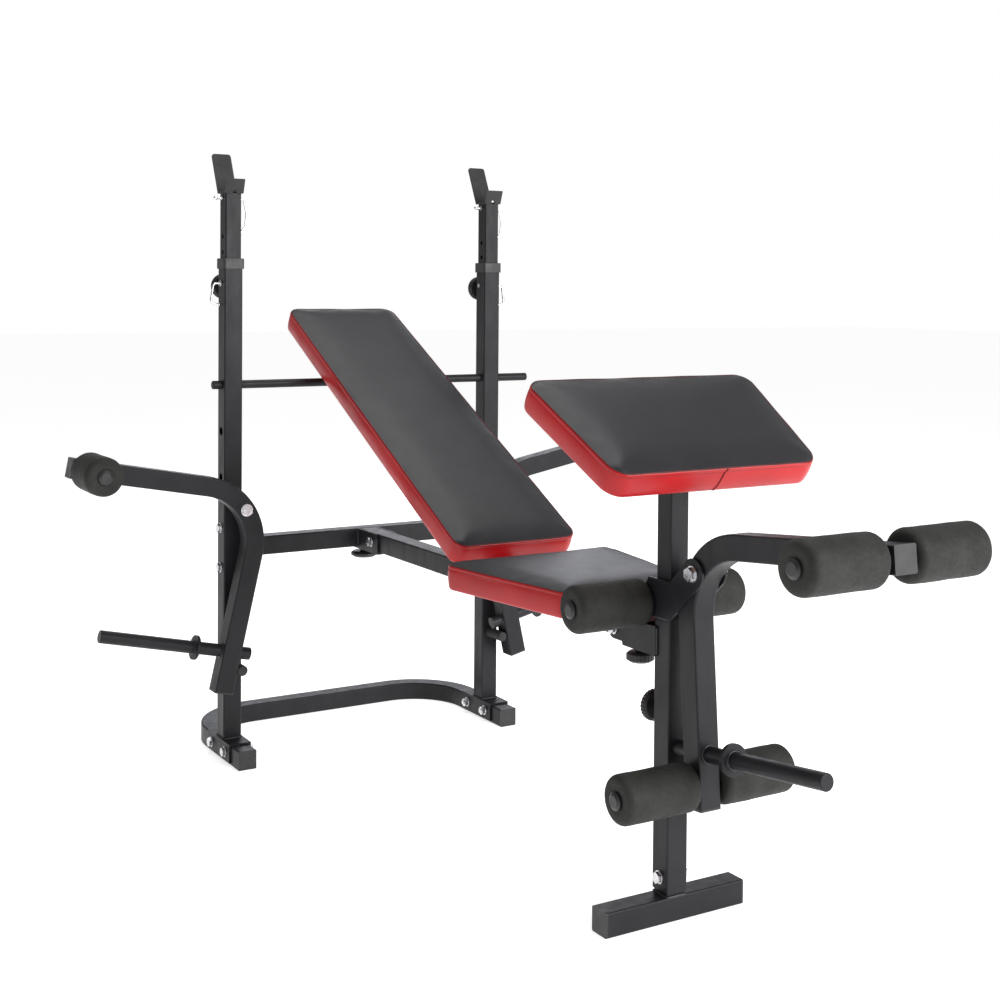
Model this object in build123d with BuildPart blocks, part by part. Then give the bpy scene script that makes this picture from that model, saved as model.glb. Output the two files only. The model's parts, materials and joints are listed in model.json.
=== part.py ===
from build123d import *
import math
import os

# Home gym bench: telescoping bar uprights on a bent-tube rear base, a level main beam with
# seat and inclined backrest, a folding front leg that carries the preacher pad, the knee
# rollers and the leg developer, and two swinging arms in front of the uprights.
# Millimetres, +Z up, floor at Z = 0, +Y towards the rear base. "left" is the -X side, which
# is on the left for someone who looks at the bench from the leg developer's end.

os.makedirs("parts", exist_ok=True)

# --- stock sizes ---------------------------------------------------------------------------
TUBE = 40.0                 # main square tube
WALL = 2.0                  # its wall
TUBE_CORNER = 3.0           # outer corner radius of the square tube
INNER_POST = 35.0           # telescoping bar post
PREACHER_POST = 36.0        # preacher post, also the stub on the front foot
LEG_BORE = 37.0             # inside of the thin-walled front leg
PLATE = 4.0                 # bracket plate
CAP = 3.0                   # end cap flange
WELD_NUT = 18.0             # welded nut of a clamp knob, across flats
WELD_NUT_T = 8.0
BOLT_R = 5.0                # M10 frame bolts
BOLT_CLEAR = 0.2            # clearance round a fixed bolt
RUNNING = 0.05              # radial clearance of a pin that turns or slides
GAP = 0.3                   # gap between faces of bodies that move past each other

# --- stations along the bench --------------------------------------------------------------
LEG_Y = -438.06             # front leg centre
UPRIGHT_Y = LEG_Y + 1124.0  # upright centre
BASE_REAR_Y = LEG_Y + 1357.0
BASE_FRONT_Y = LEG_Y + 1018.0
UPRIGHT_X = 316.0

# --- rear base and uprights ----------------------------------------------------------------
BASE_BEND = 142.0
SADDLE_LENGTH = 128.0
SADDLE_BOLT_SPACING = 80.0
SADDLE_BOLT_Z = 24.0
SADDLE_TOP_Z = TUBE + PLATE
UPRIGHT_TOP_Z = 1050.0
COLLAR = 46.0
COLLAR_LOW_Z = 1039.0
COLLAR_TOP_Z = 1061.0
POST_LOW_Z = 815.0
POST_TOP_Z = 1198.0
POST_HOLE_PITCH = 33.0
LOCK_PIN_Z = 1008.0
LOCK_PIN_R = 4.5
POST_TRAVEL = 165.0
CLAMP_KNOB_Z = 1002.0
SUPPORT_BAR_Z = 793.5
SUPPORT_BAR_R = 9.0
SUPPORT_HOLE_PITCH = 98.0

# --- bar catches ---------------------------------------------------------------------------
CATCH_WIDTH = 42.0
CATCH_PIN_Z = 1188.0
CATCH_PIN_R = 3.0

# --- cross member and main beam --------------------------------------------------------------
BEAM_Z = 448.0
BEAM_FRONT_Y = LEG_Y + 38.0
BEAM_REAR_Y = UPRIGHT_Y - TUBE / 2 - 4.0
CROSS_BOLT_RISE = 42.0
END_PLATE = 5.0
END_PLATE_HEIGHT = 110.0
REAR_BOLT_Y = LEG_Y + 1038.0
FOLD_Y = LEG_Y + 124.0      # front leg fold bolt
FOLD_Z = 442.0
SIDE_GAP = 0.3              # beam side to bracket plate

# --- swinging arms ---------------------------------------------------------------------------
ARM_Y = UPRIGHT_Y - 62.0
ARM_BEND = 122.0
ARM_CORNER_X = 265.0
ARM_CORNER_Z = 566.0
ARM_UPPER_ANGLE = 10.7      # rise of the upper limb
ARM_LOWER_ANGLE = 12.8      # outward lean of the lower limb
ARM_UPPER_LENGTH = 411.0
ARM_LOWER_LENGTH = 416.0
ARM_PIVOT_R = 6.0
ARM_ROLLER_FROM_END = 33.0
ARM_ROLLER_LENGTH = 116.0
BUMPER_R = 11.0
BUMPER_Z = 200.0

# --- leg developer ---------------------------------------------------------------------------
DEV_CORNER_Y = LEG_Y - 52.0
DEV_CORNER_Z = 606.5
DEV_UPPER_ANGLE = 5.8
DEV_LOWER_ANGLE = 4.4
DEV_UPPER_LENGTH = 442.0
DEV_LOWER_LENGTH = 405.0
DEV_PIVOT_ANGLE = 33.7      # pivot's place on the bend, seen from the bend centre
DEV_UPPER_ROLLER = 29.0     # roller axis, back from the upper end
DEV_LOWER_ROLLER = 35.0     # roller axis, up from the lower end
DEV_POST_TILT = 2.5         # extra upward lean of the plate post

# --- plate posts -----------------------------------------------------------------------------
POST_R = 13.0
FLANGE_R = 25.0
FLANGE_T = 6.0
FLANGE_FROM_AXIS = 74.0
POST_FROM_END = 85.0        # plate post, up from the lower end of its limb
POST_REACH = 280.0

# --- foam rollers ----------------------------------------------------------------------------
ROLLER_R = 38.0
ROLLER_BAR_R = 6.0
ROLLER_BORE_R = 6.1
ROLLER_LENGTH = 137.0
ROLLER_START = 26.0
ROLLER_ROUND = 8.0
ROLLER_CAP_R = 14.0
ROLLER_CAP_T = 5.5

# --- front leg -------------------------------------------------------------------------------
FOOT_LENGTH = 265.0
LEG_LOW_Z = 46.5
LEG_TOP_Z = 543.0
LEG_BOLT_Z = 68.0
STUB_TOP_Z = 112.0
KNEE_Y = LEG_Y + 45.0
KNEE_Z = 500.0
EAR_INNER_X = 20.5
POST_KNOB_Z = 330.0
FOLD_KNOB_Y = LEG_Y + 84.0
LEG_PLATE_LOW_Z = 418.0

# --- pads ------------------------------------------------------------------------------------
PAD_T = 50.0
BOARD_T = 8.0
BOARD_INSET = 10.0
SEAT_LOW_Z = BEAM_Z + TUBE / 2
SEAT_FRONT_Y = LEG_Y + 100.0
SEAT_REAR_Y = LEG_Y + 432.0
SEAT_FRONT_HALF = 128.0
SEAT_REAR_HALF = 180.0
BACK_ANGLE = 27.9
BACK_LENGTH = 896.0
BACK_WIDTH = 259.0
BACK_LOW_Y = LEG_Y + 484.0
BACK_LOW_Z = 494.0
RAIL_T = 25.0
RAIL_WIDTH = 20.0
RAIL_X = 38.5
BACK_HINGE_Y = LEG_Y + 510.0
BACK_HINGE_Z = 484.0
BACK_ROD_R = 4.0
PREACHER_ANGLE = 30.5
PREACHER_FRONT_HALF = 194.0
PREACHER_REAR_HALF = 223.0
PREACHER_DEPTH = 248.0
PREACHER_PLANE_Z = 752.0    # underside of the board above the post centre
PREACHER_POST_LOW_Z = 150.0

# --- planes the pieces are drawn on ------------------------------------------------------------
ARM_PLANE = Plane(origin=(0, ARM_Y, 0), x_dir=(1, 0, 0), z_dir=(0, -1, 0))
BACK_S = math.sin(math.radians(BACK_ANGLE))
BACK_C = math.cos(math.radians(BACK_ANGLE))
BACK_PLANE = Plane(origin=(0, BACK_LOW_Y, BACK_LOW_Z), x_dir=(1, 0, 0), z_dir=(0, -BACK_S, BACK_C))
PREACHER_S = math.sin(math.radians(PREACHER_ANGLE))
PREACHER_C = math.cos(math.radians(PREACHER_ANGLE))
PREACHER_PLANE = Plane(
    origin=(0, LEG_Y, PREACHER_PLANE_Z), x_dir=(1, 0, 0), z_dir=(0, -PREACHER_S, PREACHER_C)
)
PREACHER_MID = 8.0          # pad centre along its slope from the post centre

written = []


def save(piece, name):
    """Label one finished piece and write its STEP file."""
    piece.part.label = name
    export_step(piece.part, "parts/" + name + ".step")
    written.append(name)


def square_section(plane, size, bore):
    """Hollow square tube section with rounded outer corners."""
    with BuildSketch(plane) as section:
        RectangleRounded(size, size, TUBE_CORNER)
        Rectangle(bore, bore, mode=Mode.SUBTRACT)
    return section.sketch


def round_hole_x(y, z, radius, x_from, x_to):
    """Cut a round hole along X from the piece being built."""
    with Locations(Location((x_from, y, z), (0, 90, 0))):
        Cylinder(radius, x_to - x_from, align=(Align.CENTER, Align.CENTER, Align.MIN), mode=Mode.SUBTRACT)


def round_bar(start, direction, radius, length, mode=Mode.ADD):
    """Add or cut a round bar in the piece being built."""
    with Locations(Plane(origin=start, z_dir=direction).location):
        Cylinder(radius, length, align=(Align.CENTER, Align.CENTER, Align.MIN), mode=mode)


def hex_block(start, direction, across_flats, length):
    """Add a hexagonal head or nut."""
    with BuildSketch(Plane(origin=start, z_dir=direction)) as hexagon:
        RegularPolygon(across_flats / 2, 6, major_radius=False)
    extrude(hexagon.sketch, amount=length)


def along(point, direction, distance):
    """Point a distance away from another along a direction."""
    return tuple(p + d * distance for p, d in zip(point, direction))


def through_bolt(face, direction, grip, radius, washer_gap=0.0):
    """Hex bolt with two washers and a nut, clamping `grip` from `face` along `direction`."""
    back = tuple(-d for d in direction)
    seat = along(face, back, washer_gap)
    far = along(face, direction, grip + washer_gap)
    head = along(seat, back, 2.0)
    round_bar(seat, back, radius * 2.1, 2.0)
    hex_block(head, back, radius * 3.3, radius * 1.25)
    round_bar(seat, direction, radius, grip + 2 * washer_gap + 2.0 + radius * 1.6 + 3.0)
    round_bar(far, direction, radius * 2.1, 2.0)
    hex_block(along(far, direction, 2.0), direction, radius * 3.3, radius * 1.6)


def end_cap(plane, size, bore):
    """Plastic end cap: a flange on the tube end and a plug inside it."""
    with BuildSketch(plane) as flange:
        RectangleRounded(size, size, TUBE_CORNER)
    extrude(flange.sketch, amount=CAP)
    with BuildSketch(plane) as plug:
        Rectangle(bore - 0.4, bore - 0.4)
    extrude(plug.sketch, amount=-18.0)


# --- rear base -----------------------------------------------------------------------------


def make_base_tube():
    with BuildPart() as base_tube:
        with BuildLine(Plane.XY.offset(TUBE / 2)) as run:
            FilletPolyline(
                (-UPRIGHT_X, BASE_FRONT_Y + CAP),
                (-UPRIGHT_X, BASE_REAR_Y),
                (UPRIGHT_X, BASE_REAR_Y),
                (UPRIGHT_X, BASE_FRONT_Y + CAP),
                radius=BASE_BEND,
            )
        start = Plane(origin=(-UPRIGHT_X, BASE_FRONT_Y + CAP, TUBE / 2), x_dir=(1, 0, 0), z_dir=(0, 1, 0))
        sweep(sections=square_section(start, TUBE, TUBE - 2 * WALL), path=run.line)
        for side in (-1, 1):
            for step in (-0.5, 0.5):
                y = UPRIGHT_Y + step * SADDLE_BOLT_SPACING
                x = side * UPRIGHT_X - TUBE / 2 - 5
                round_hole_x(y, SADDLE_BOLT_Z, BOLT_R + BOLT_CLEAR, x, x + TUBE + 10)
    return base_tube


def make_base_caps():
    with BuildPart() as base_caps:
        for side in (-1, 1):
            mouth = Plane(
                origin=(side * UPRIGHT_X, BASE_FRONT_Y + CAP, TUBE / 2), x_dir=(1, 0, 0), z_dir=(0, -1, 0)
            )
            end_cap(mouth, TUBE, TUBE - 2 * WALL)
    return base_caps


# --- uprights ------------------------------------------------------------------------------


def make_upright(side):
    x = side * UPRIGHT_X
    outer = TUBE / 2 + 0.2 + PLATE
    with BuildPart() as upright:
        extrude(
            square_section(Plane((x, UPRIGHT_Y, SADDLE_TOP_Z)), TUBE, TUBE - 2 * WALL),
            amount=UPRIGHT_TOP_Z - SADDLE_TOP_Z,
        )
        # saddle bent over the base foot and welded under the upright
        with Locations((x, UPRIGHT_Y, 5.0)):
            Box(2 * outer, SADDLE_LENGTH, SADDLE_TOP_Z - 5.0, align=(Align.CENTER, Align.CENTER, Align.MIN))
        with Locations((x, UPRIGHT_Y, 0)):
            Box(
                TUBE + 0.4, SADDLE_LENGTH + 2, TUBE,
                align=(Align.CENTER, Align.CENTER, Align.MIN), mode=Mode.SUBTRACT,
            )
        # welded nut of the clamp knob, spacer tube of the swinging arm
        with BuildSketch(Plane((x, UPRIGHT_Y + TUBE / 2, CLAMP_KNOB_Z), x_dir=(1, 0, 0), z_dir=(0, 1, 0))):
            RegularPolygon(WELD_NUT / 2, 6, major_radius=False)
        extrude(amount=WELD_NUT_T)
        spacer = UPRIGHT_Y - TUBE / 2 - ARM_Y - TUBE / 2 - GAP
        pivot = arm_pivot(side)
        round_bar((pivot[0], UPRIGHT_Y - TUBE / 2, pivot[1]), (0, -1, 0), 13.0, spacer)
        behind = (pivot[0], UPRIGHT_Y + 30, pivot[1])
        round_bar(behind, (0, -1, 0), ARM_PIVOT_R + BOLT_CLEAR, 90.0, Mode.SUBTRACT)
        round_bar(
            (x, UPRIGHT_Y + TUBE / 2 + 10, CLAMP_KNOB_Z), (0, -1, 0), BOLT_R + RUNNING, 15.0, Mode.SUBTRACT
        )
        # lock pin, support bar, cross member and saddle holes
        left, right = x - TUBE / 2 - 6, x + TUBE / 2 + 6
        round_hole_x(UPRIGHT_Y, LOCK_PIN_Z, LOCK_PIN_R + RUNNING, left, right)
        for row in range(3):
            z = SUPPORT_BAR_Z - row * SUPPORT_HOLE_PITCH
            round_hole_x(UPRIGHT_Y, z, SUPPORT_BAR_R + RUNNING, left, right)
        for step in (-1, 1):
            round_hole_x(UPRIGHT_Y, BEAM_Z + step * CROSS_BOLT_RISE, BOLT_R + BOLT_CLEAR, left, right)
            y = UPRIGHT_Y + step * SADDLE_BOLT_SPACING / 2
            round_hole_x(y, SADDLE_BOLT_Z, BOLT_R + BOLT_CLEAR, left, right)
    return upright


def make_upright_collars():
    with BuildPart() as collars:
        for side in (-1, 1):
            x = side * UPRIGHT_X
            with BuildSketch(Plane((x, UPRIGHT_Y, COLLAR_LOW_Z))) as body:
                RectangleRounded(COLLAR, COLLAR, 5.0)
            extrude(body.sketch, amount=COLLAR_TOP_Z - COLLAR_LOW_Z)
            with Locations((x, UPRIGHT_Y, COLLAR_LOW_Z)):
                Box(
                    TUBE, TUBE, UPRIGHT_TOP_Z - COLLAR_LOW_Z,
                    align=(Align.CENTER, Align.CENTER, Align.MIN), mode=Mode.SUBTRACT,
                )
                Box(
                    INNER_POST + 0.8, INNER_POST + 0.8, COLLAR_TOP_Z - COLLAR_LOW_Z,
                    align=(Align.CENTER, Align.CENTER, Align.MIN), mode=Mode.SUBTRACT,
                )
        tops = collars.faces().filter_by(Axis.Z).group_by(Axis.Z)[-1]
        chamfer(tops.edges(), length=1.0)
    return collars


def make_inner_post(side):
    x = side * UPRIGHT_X
    left, right = x - INNER_POST / 2 - 5, x + INNER_POST / 2 + 5
    with BuildPart() as post:
        extrude(
            square_section(Plane((x, UPRIGHT_Y, POST_LOW_Z)), INNER_POST, INNER_POST - 2 * WALL),
            amount=POST_TOP_Z - POST_LOW_Z,
        )
        # height holes above the collar, and the hidden lower rows run together as one slot
        for row in (2, 3):
            round_hole_x(UPRIGHT_Y, LOCK_PIN_Z + row * POST_HOLE_PITCH, LOCK_PIN_R + RUNNING, left, right)
        slot_low = LOCK_PIN_Z - POST_TRAVEL
        slot_centre = (slot_low + LOCK_PIN_Z) / 2
        with BuildSketch(Plane((left, UPRIGHT_Y, slot_centre), x_dir=(0, 1, 0), z_dir=(1, 0, 0))) as slot:
            SlotOverall(POST_TRAVEL + 2 * LOCK_PIN_R + 0.4, 2 * LOCK_PIN_R + 0.2, rotation=90)
        extrude(slot.sketch, amount=right - left, mode=Mode.SUBTRACT)
        round_hole_x(UPRIGHT_Y, CATCH_PIN_Z, CATCH_PIN_R + 0.1, left, right)
    return post


def make_bar_catch(side):
    """Catch bent from plate: short flared lip, floor, tall back leaning away, square stem."""
    x = side * UPRIGHT_X
    low = POST_TOP_Z
    profile = [
        (-20.0, low), (22.0, low), (62.0, low + 86.0), (58.4, low + 87.7),
        (19.4, low + PLATE), (-17.5, low + PLATE), (-26.4, low + 30.5), (-30.2, low + 29.2),
    ]
    with BuildPart() as catch:
        side_plane = Plane(origin=(x - CATCH_WIDTH / 2, UPRIGHT_Y, 0), x_dir=(0, 1, 0), z_dir=(1, 0, 0))
        with BuildSketch(side_plane) as outline:
            with BuildLine():
                Polyline(*profile, close=True)
            make_face()
        extrude(outline.sketch, amount=CATCH_WIDTH)
        # corner cuts of the back plate
        corners = catch.edges().filter_by(lambda e: e.length < PLATE + 1 and e.center().Z > low + 80)
        corners = corners.filter_by(lambda e: abs(e.center().X - x) > CATCH_WIDTH / 2 - 0.1)
        fillet(corners, radius=6.0)
        # pressed stiffening rib up the back plate
        lean = math.atan2(40.0, 86.0)
        rib = Plane(origin=(x, UPRIGHT_Y + 21.0, low + PLATE), x_dir=(1, 0, 0),
                    z_dir=(0, math.sin(lean), math.cos(lean)))
        with BuildSketch(rib) as rib_section:
            Trapezoid(13.0, 3.4, 62.0, rotation=180)
        extrude(rib_section.sketch, amount=84.0)
        # notch in the lip's foot, and the stem that drops into the post
        round_bar((x, UPRIGHT_Y - 10, low + 3.0), (0, -1, 0), 5.0, 25.0, Mode.SUBTRACT)
        stem = INNER_POST - 2 * WALL - 0.4
        with Locations((x, UPRIGHT_Y, low - 34.0)):
            Box(stem, stem, 34.0 + 1.0, align=(Align.CENTER, Align.CENTER, Align.MIN))
        round_hole_x(UPRIGHT_Y, CATCH_PIN_Z, CATCH_PIN_R + 0.1, x - 20, x + 20)
    return catch


def make_catch_pin(side):
    """Pin under the catch: ball head at its low-X end, spring-wire clip on the other face."""
    x = side * UPRIGHT_X
    face = INNER_POST / 2
    with BuildPart() as pin:
        round_bar((x - face - 14, UPRIGHT_Y, CATCH_PIN_Z), (1, 0, 0), CATCH_PIN_R, 2 * face + 18)
        round_bar((x - face - 3.5, UPRIGHT_Y, CATCH_PIN_Z), (1, 0, 0), 5.0, 1.6)
        with Locations((x - face - 16, UPRIGHT_Y, CATCH_PIN_Z)):
            Sphere(4.6)
        plane = Plane(origin=(x, UPRIGHT_Y, CATCH_PIN_Z), x_dir=(1, 0, 0), z_dir=(0, -1, 0))
        with BuildLine(plane) as clip:
            FilletPolyline(
                (face + 2, 0), (face + 11, -2), (face + 17, -30), (face + 15, -58), (face + 2.5, -74),
                radius=6.0,
            )
        tip = Plane(origin=clip.line @ 0, z_dir=clip.line % 0)
        with BuildSketch(tip) as wire:
            Circle(1.6)
        sweep(sections=wire.sketch, path=clip.line)
    return pin


def make_lock_pin(side):
    """Height lock pin with its bent wire handle and ball tip on the outer face."""
    face = UPRIGHT_X + TUBE / 2
    with BuildPart() as left_pin:
        round_bar((-face - 6, UPRIGHT_Y, LOCK_PIN_Z), (1, 0, 0), LOCK_PIN_R, TUBE + 11)
        round_bar((-face - 1, UPRIGHT_Y, LOCK_PIN_Z), (-1, 0, 0), 7.0, 2.0)
        plane = Plane(origin=(0, UPRIGHT_Y, LOCK_PIN_Z), x_dir=(-1, 0, 0), z_dir=(0, 1, 0))
        with BuildLine(plane) as handle:
            FilletPolyline(
                (face + 4, 0), (face + 18, 0), (face + 24, -42), (face + 6, -45), radius=8.0
            )
        tip = Plane(origin=handle.line @ 0, z_dir=handle.line % 0)
        with BuildSketch(tip) as wire:
            Circle(2.4)
        sweep(sections=wire.sketch, path=handle.line)
        with Locations((-face - 6, UPRIGHT_Y, LOCK_PIN_Z - 45)):
            Sphere(4.0)
    if side < 0:
        return left_pin
    with BuildPart() as right_pin:
        mirror(left_pin.part, about=Plane.YZ)
    return right_pin


# --- knobs ---------------------------------------------------------------------------------


def make_knob(origin, direction, radius, height, ribs, stud):
    """Clamp knob: stem, rounded body with grip grooves, threaded stud behind it."""
    with BuildPart() as knob:
        plane = Plane(origin=origin, z_dir=direction)
        half = Plane(origin=origin, x_dir=plane.x_dir, z_dir=-plane.y_dir)
        with BuildSketch(half) as profile:
            with BuildLine():
                Polyline(
                    (0, -stud), (BOLT_R, -stud), (BOLT_R, 0), (8.5, 0), (8.5, 8), (radius - 5, 9),
                    (radius, 13), (radius, 4 + height), (radius - 6, 8 + height), (0, 9 + height), close=True,
                )
            make_face()
        revolve(profile.sketch, axis=Axis(origin, direction))
        if ribs:
            with Locations(plane.offset(7).location):
                with PolarLocations(radius + 1.2, ribs):
                    Cylinder(
                        2.6, height + 6, align=(Align.CENTER, Align.CENTER, Align.MIN), mode=Mode.SUBTRACT
                    )
        rim = knob.edges().filter_by(GeomType.CIRCLE).filter_by(lambda e: e.radius > radius - 7)
        if not ribs:
            fillet(rim, radius=2.0)
    return knob


# --- cross member and main beam --------------------------------------------------------------


def make_cross_member():
    inner = UPRIGHT_X - TUBE / 2
    bracket_out = TUBE / 2 + SIDE_GAP + PLATE
    front = REAR_BOLT_Y - 30.0
    face = UPRIGHT_Y - TUBE / 2
    with BuildPart() as cross_member:
        tube_end = (-inner + END_PLATE, UPRIGHT_Y, BEAM_Z)
        tube_plane = Plane(origin=tube_end, x_dir=(0, 1, 0), z_dir=(1, 0, 0))
        extrude(square_section(tube_plane, TUBE, TUBE - 2 * WALL), amount=2 * (inner - END_PLATE))
        for side in (-1, 1):
            start = -inner if side < 0 else inner - END_PLATE
            end_plane = Plane(origin=(start, UPRIGHT_Y, BEAM_Z), x_dir=(0, 1, 0), z_dir=(1, 0, 0))
            with BuildSketch(end_plane) as end:
                RectangleRounded(TUBE, END_PLATE_HEIGHT, 5.0)
            extrude(end.sketch, amount=END_PLATE)
        # bracket that takes the rear end of the main beam
        for side in (-1, 1):
            centre = side * (TUBE / 2 + SIDE_GAP + PLATE / 2)
            with Locations((centre, (front + face) / 2, BEAM_Z - PLATE / 2)):
                Box(PLATE, face - front, TUBE + PLATE)
        corners = cross_member.edges().filter_by(Axis.X).group_by(Axis.Y)[0]
        fillet(corners.sort_by(Axis.Z)[-2:], radius=12.0)
        rear = UPRIGHT_Y + TUBE / 2
        with Locations((0, (front + rear) / 2, BEAM_Z - TUBE / 2 - PLATE / 2)):
            Box(2 * bracket_out, rear - front, PLATE)
        round_hole_x(REAR_BOLT_Y, BEAM_Z, BOLT_R + BOLT_CLEAR, -30, 30)
        round_bar(
            (0, UPRIGHT_Y, BEAM_Z - TUBE / 2 - PLATE - 1), (0, 0, 1), BOLT_R + RUNNING, 10.0, Mode.SUBTRACT
        )
        for step in (-1, 1):
            for x in (-inner - 1, inner - END_PLATE - 1):
                round_hole_x(
                    UPRIGHT_Y, BEAM_Z + step * CROSS_BOLT_RISE, BOLT_R + BOLT_CLEAR, x, x + END_PLATE + 2
                )
    return cross_member


def make_frame_bolts():
    """Saddle bolts through the base feet and cross member bolts through the uprights."""
    saddle = TUBE / 2 + 0.2 + PLATE
    with BuildPart() as bolts:
        for side in (-1, 1):
            for step in (-0.5, 0.5):
                y = UPRIGHT_Y + step * SADDLE_BOLT_SPACING
                face = (side * (UPRIGHT_X + saddle), y, SADDLE_BOLT_Z)
                through_bolt(face, (-side, 0, 0), 2 * saddle, BOLT_R)
                z = BEAM_Z + step * 2 * CROSS_BOLT_RISE
                face = (side * (UPRIGHT_X + TUBE / 2), UPRIGHT_Y, z)
                through_bolt(face, (-side, 0, 0), TUBE + END_PLATE, BOLT_R)
    return bolts


def make_main_beam():
    with BuildPart() as beam:
        start = Plane(origin=(0, BEAM_FRONT_Y, BEAM_Z), x_dir=(1, 0, 0), z_dir=(0, 1, 0))
        extrude(square_section(start, TUBE, TUBE - 2 * WALL), amount=BEAM_REAR_Y - BEAM_FRONT_Y)
        # hinge lugs of the backrest, welded to both sides of the beam
        for side in (-1, 1):
            inner = side * TUBE / 2
            with BuildSketch(Plane(origin=(inner, 0, 0), x_dir=(0, side, 0), z_dir=(side, 0, 0))) as lug:
                with Locations((side * BACK_HINGE_Y, BACK_HINGE_Z)):
                    Circle(9.0)
                with BuildLine():
                    Polyline(
                        (side * (BACK_HINGE_Y - 9.0), BACK_HINGE_Z),
                        (side * (BACK_HINGE_Y + 9.0), BACK_HINGE_Z),
                        (side * (BACK_HINGE_Y + 24.0), BEAM_Z - 6.0),
                        (side * (BACK_HINGE_Y - 24.0), BEAM_Z - 6.0),
                        close=True,
                    )
                make_face()
            extrude(lug.sketch, amount=5.0)
        round_hole_x(BACK_HINGE_Y, BACK_HINGE_Z, BACK_ROD_R + 0.1, -30, 30)
        round_hole_x(REAR_BOLT_Y, BEAM_Z, BOLT_R + BOLT_CLEAR, -30, 30)
        round_hole_x(FOLD_Y, FOLD_Z, BOLT_R + BOLT_CLEAR, -30, 30)
    return beam


def make_beam_bolts():
    side = TUBE / 2 + SIDE_GAP + PLATE
    with BuildPart() as bolts:
        through_bolt((-side, REAR_BOLT_Y, BEAM_Z), (1, 0, 0), 2 * side, BOLT_R)
        through_bolt((-side, FOLD_Y, FOLD_Z), (1, 0, 0), 2 * side, BOLT_R, GAP)
    return bolts


def make_backrest_rod():
    with BuildPart() as rod:
        round_bar((-52, BACK_HINGE_Y, BACK_HINGE_Z), (1, 0, 0), BACK_ROD_R, 104.0)
    return rod


# --- swinging arms -----------------------------------------------------------------------------


def limb_points(corner, upper_dir, lower_dir, upper_length, lower_length):
    """Ends of a bent arm's two limbs, measured from the sharp corner."""
    upper = (corner[0] + upper_dir[0] * upper_length, corner[1] + upper_dir[1] * upper_length)
    lower = (corner[0] + lower_dir[0] * lower_length, corner[1] + lower_dir[1] * lower_length)
    return upper, lower


def arm_directions(side):
    """Unit directions of the arm's upper and lower limbs in the X-Z plane."""
    a = math.radians(ARM_UPPER_ANGLE)
    b = math.radians(ARM_LOWER_ANGLE)
    return (side * math.cos(a), math.sin(a)), (side * math.sin(b), -math.cos(b))


def bend_centre(corner, first, second, radius):
    """Centre of the bend that joins two limbs."""
    mid = (first[0] + second[0], first[1] + second[1])
    size = math.hypot(*mid)
    half = math.acos(first[0] * second[0] + first[1] * second[1]) / 2
    reach = radius / math.sin(half)
    return corner[0] + mid[0] / size * reach, corner[1] + mid[1] / size * reach


def arm_pivot(side):
    """Arm pivot: the middle of the bend, on the tube's centre line."""
    corner = (side * ARM_CORNER_X, ARM_CORNER_Z)
    first, second = arm_directions(side)
    centre = bend_centre(corner, first, second, ARM_BEND)
    dx, dz = corner[0] - centre[0], corner[1] - centre[1]
    size = math.hypot(dx, dz)
    return centre[0] + dx / size * ARM_BEND, centre[1] + dz / size * ARM_BEND


def dev_directions():
    """Unit directions of the developer's limbs in the Y-Z plane."""
    a = math.radians(DEV_UPPER_ANGLE)
    b = math.radians(DEV_LOWER_ANGLE)
    return (-math.cos(a), math.sin(a)), (-math.sin(b), -math.cos(b))


def dev_pivot():
    """Developer pivot on the tube's bend, in the Y-Z plane."""
    first, second = dev_directions()
    centre = bend_centre((DEV_CORNER_Y, DEV_CORNER_Z), first, second, ARM_BEND)
    a = math.radians(DEV_PIVOT_ANGLE)
    return centre[0] + ARM_BEND * math.cos(a), centre[1] + ARM_BEND * math.sin(a)


def arm_roller_axis(side):
    """Centre of the arm's roller bar in the X-Z plane."""
    up = arm_directions(side)[0]
    reach = ARM_UPPER_LENGTH + CAP - ARM_ROLLER_FROM_END
    return side * ARM_CORNER_X + up[0] * reach, ARM_CORNER_Z + up[1] * reach


def make_arm_tube(side):
    corner = (side * ARM_CORNER_X, ARM_CORNER_Z)
    up, down = arm_directions(side)
    upper, lower = limb_points(corner, up, down, ARM_UPPER_LENGTH, ARM_LOWER_LENGTH)
    pivot = arm_pivot(side)
    with BuildPart() as arm:
        with BuildLine(ARM_PLANE) as run:
            FilletPolyline(upper, corner, lower, radius=ARM_BEND)
        mouth = Plane(origin=(upper[0], ARM_Y, upper[1]), x_dir=(0, 1, 0), z_dir=(-up[0], 0, -up[1]))
        sweep(sections=square_section(mouth, TUBE, TUBE - 2 * WALL), path=run.line)
        # pivot bush, roller bar, holes for the pivot bolt and the plate post
        round_bar((pivot[0], ARM_Y + TUBE / 2, pivot[1]), (0, -1, 0), 10.0, TUBE)
        roller = arm_roller_axis(side)
        bar_length = TUBE + ARM_ROLLER_LENGTH + 1 + GAP
        round_bar((roller[0], ARM_Y + TUBE / 2 - 1, roller[1]), (0, -1, 0), ROLLER_BAR_R, bar_length)
        round_bar(
            (pivot[0], ARM_Y + 30, pivot[1]), (0, -1, 0), ARM_PIVOT_R + RUNNING, 60.0, Mode.SUBTRACT
        )
        start, direction = arm_post_line(side)
        round_bar(along(start, direction, -40), direction, POST_R + 0.1, 80.0, Mode.SUBTRACT)
    return arm


def arm_post_line(side):
    """Where the plate post crosses the lower limb, and its outward direction."""
    up, down = arm_directions(side)
    corner = (side * ARM_CORNER_X, ARM_CORNER_Z)
    reach = ARM_LOWER_LENGTH + CAP - POST_FROM_END
    crossing = (corner[0] + down[0] * reach, ARM_Y, corner[1] + down[1] * reach)
    return crossing, (-side * down[1], 0, side * down[0])


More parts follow.
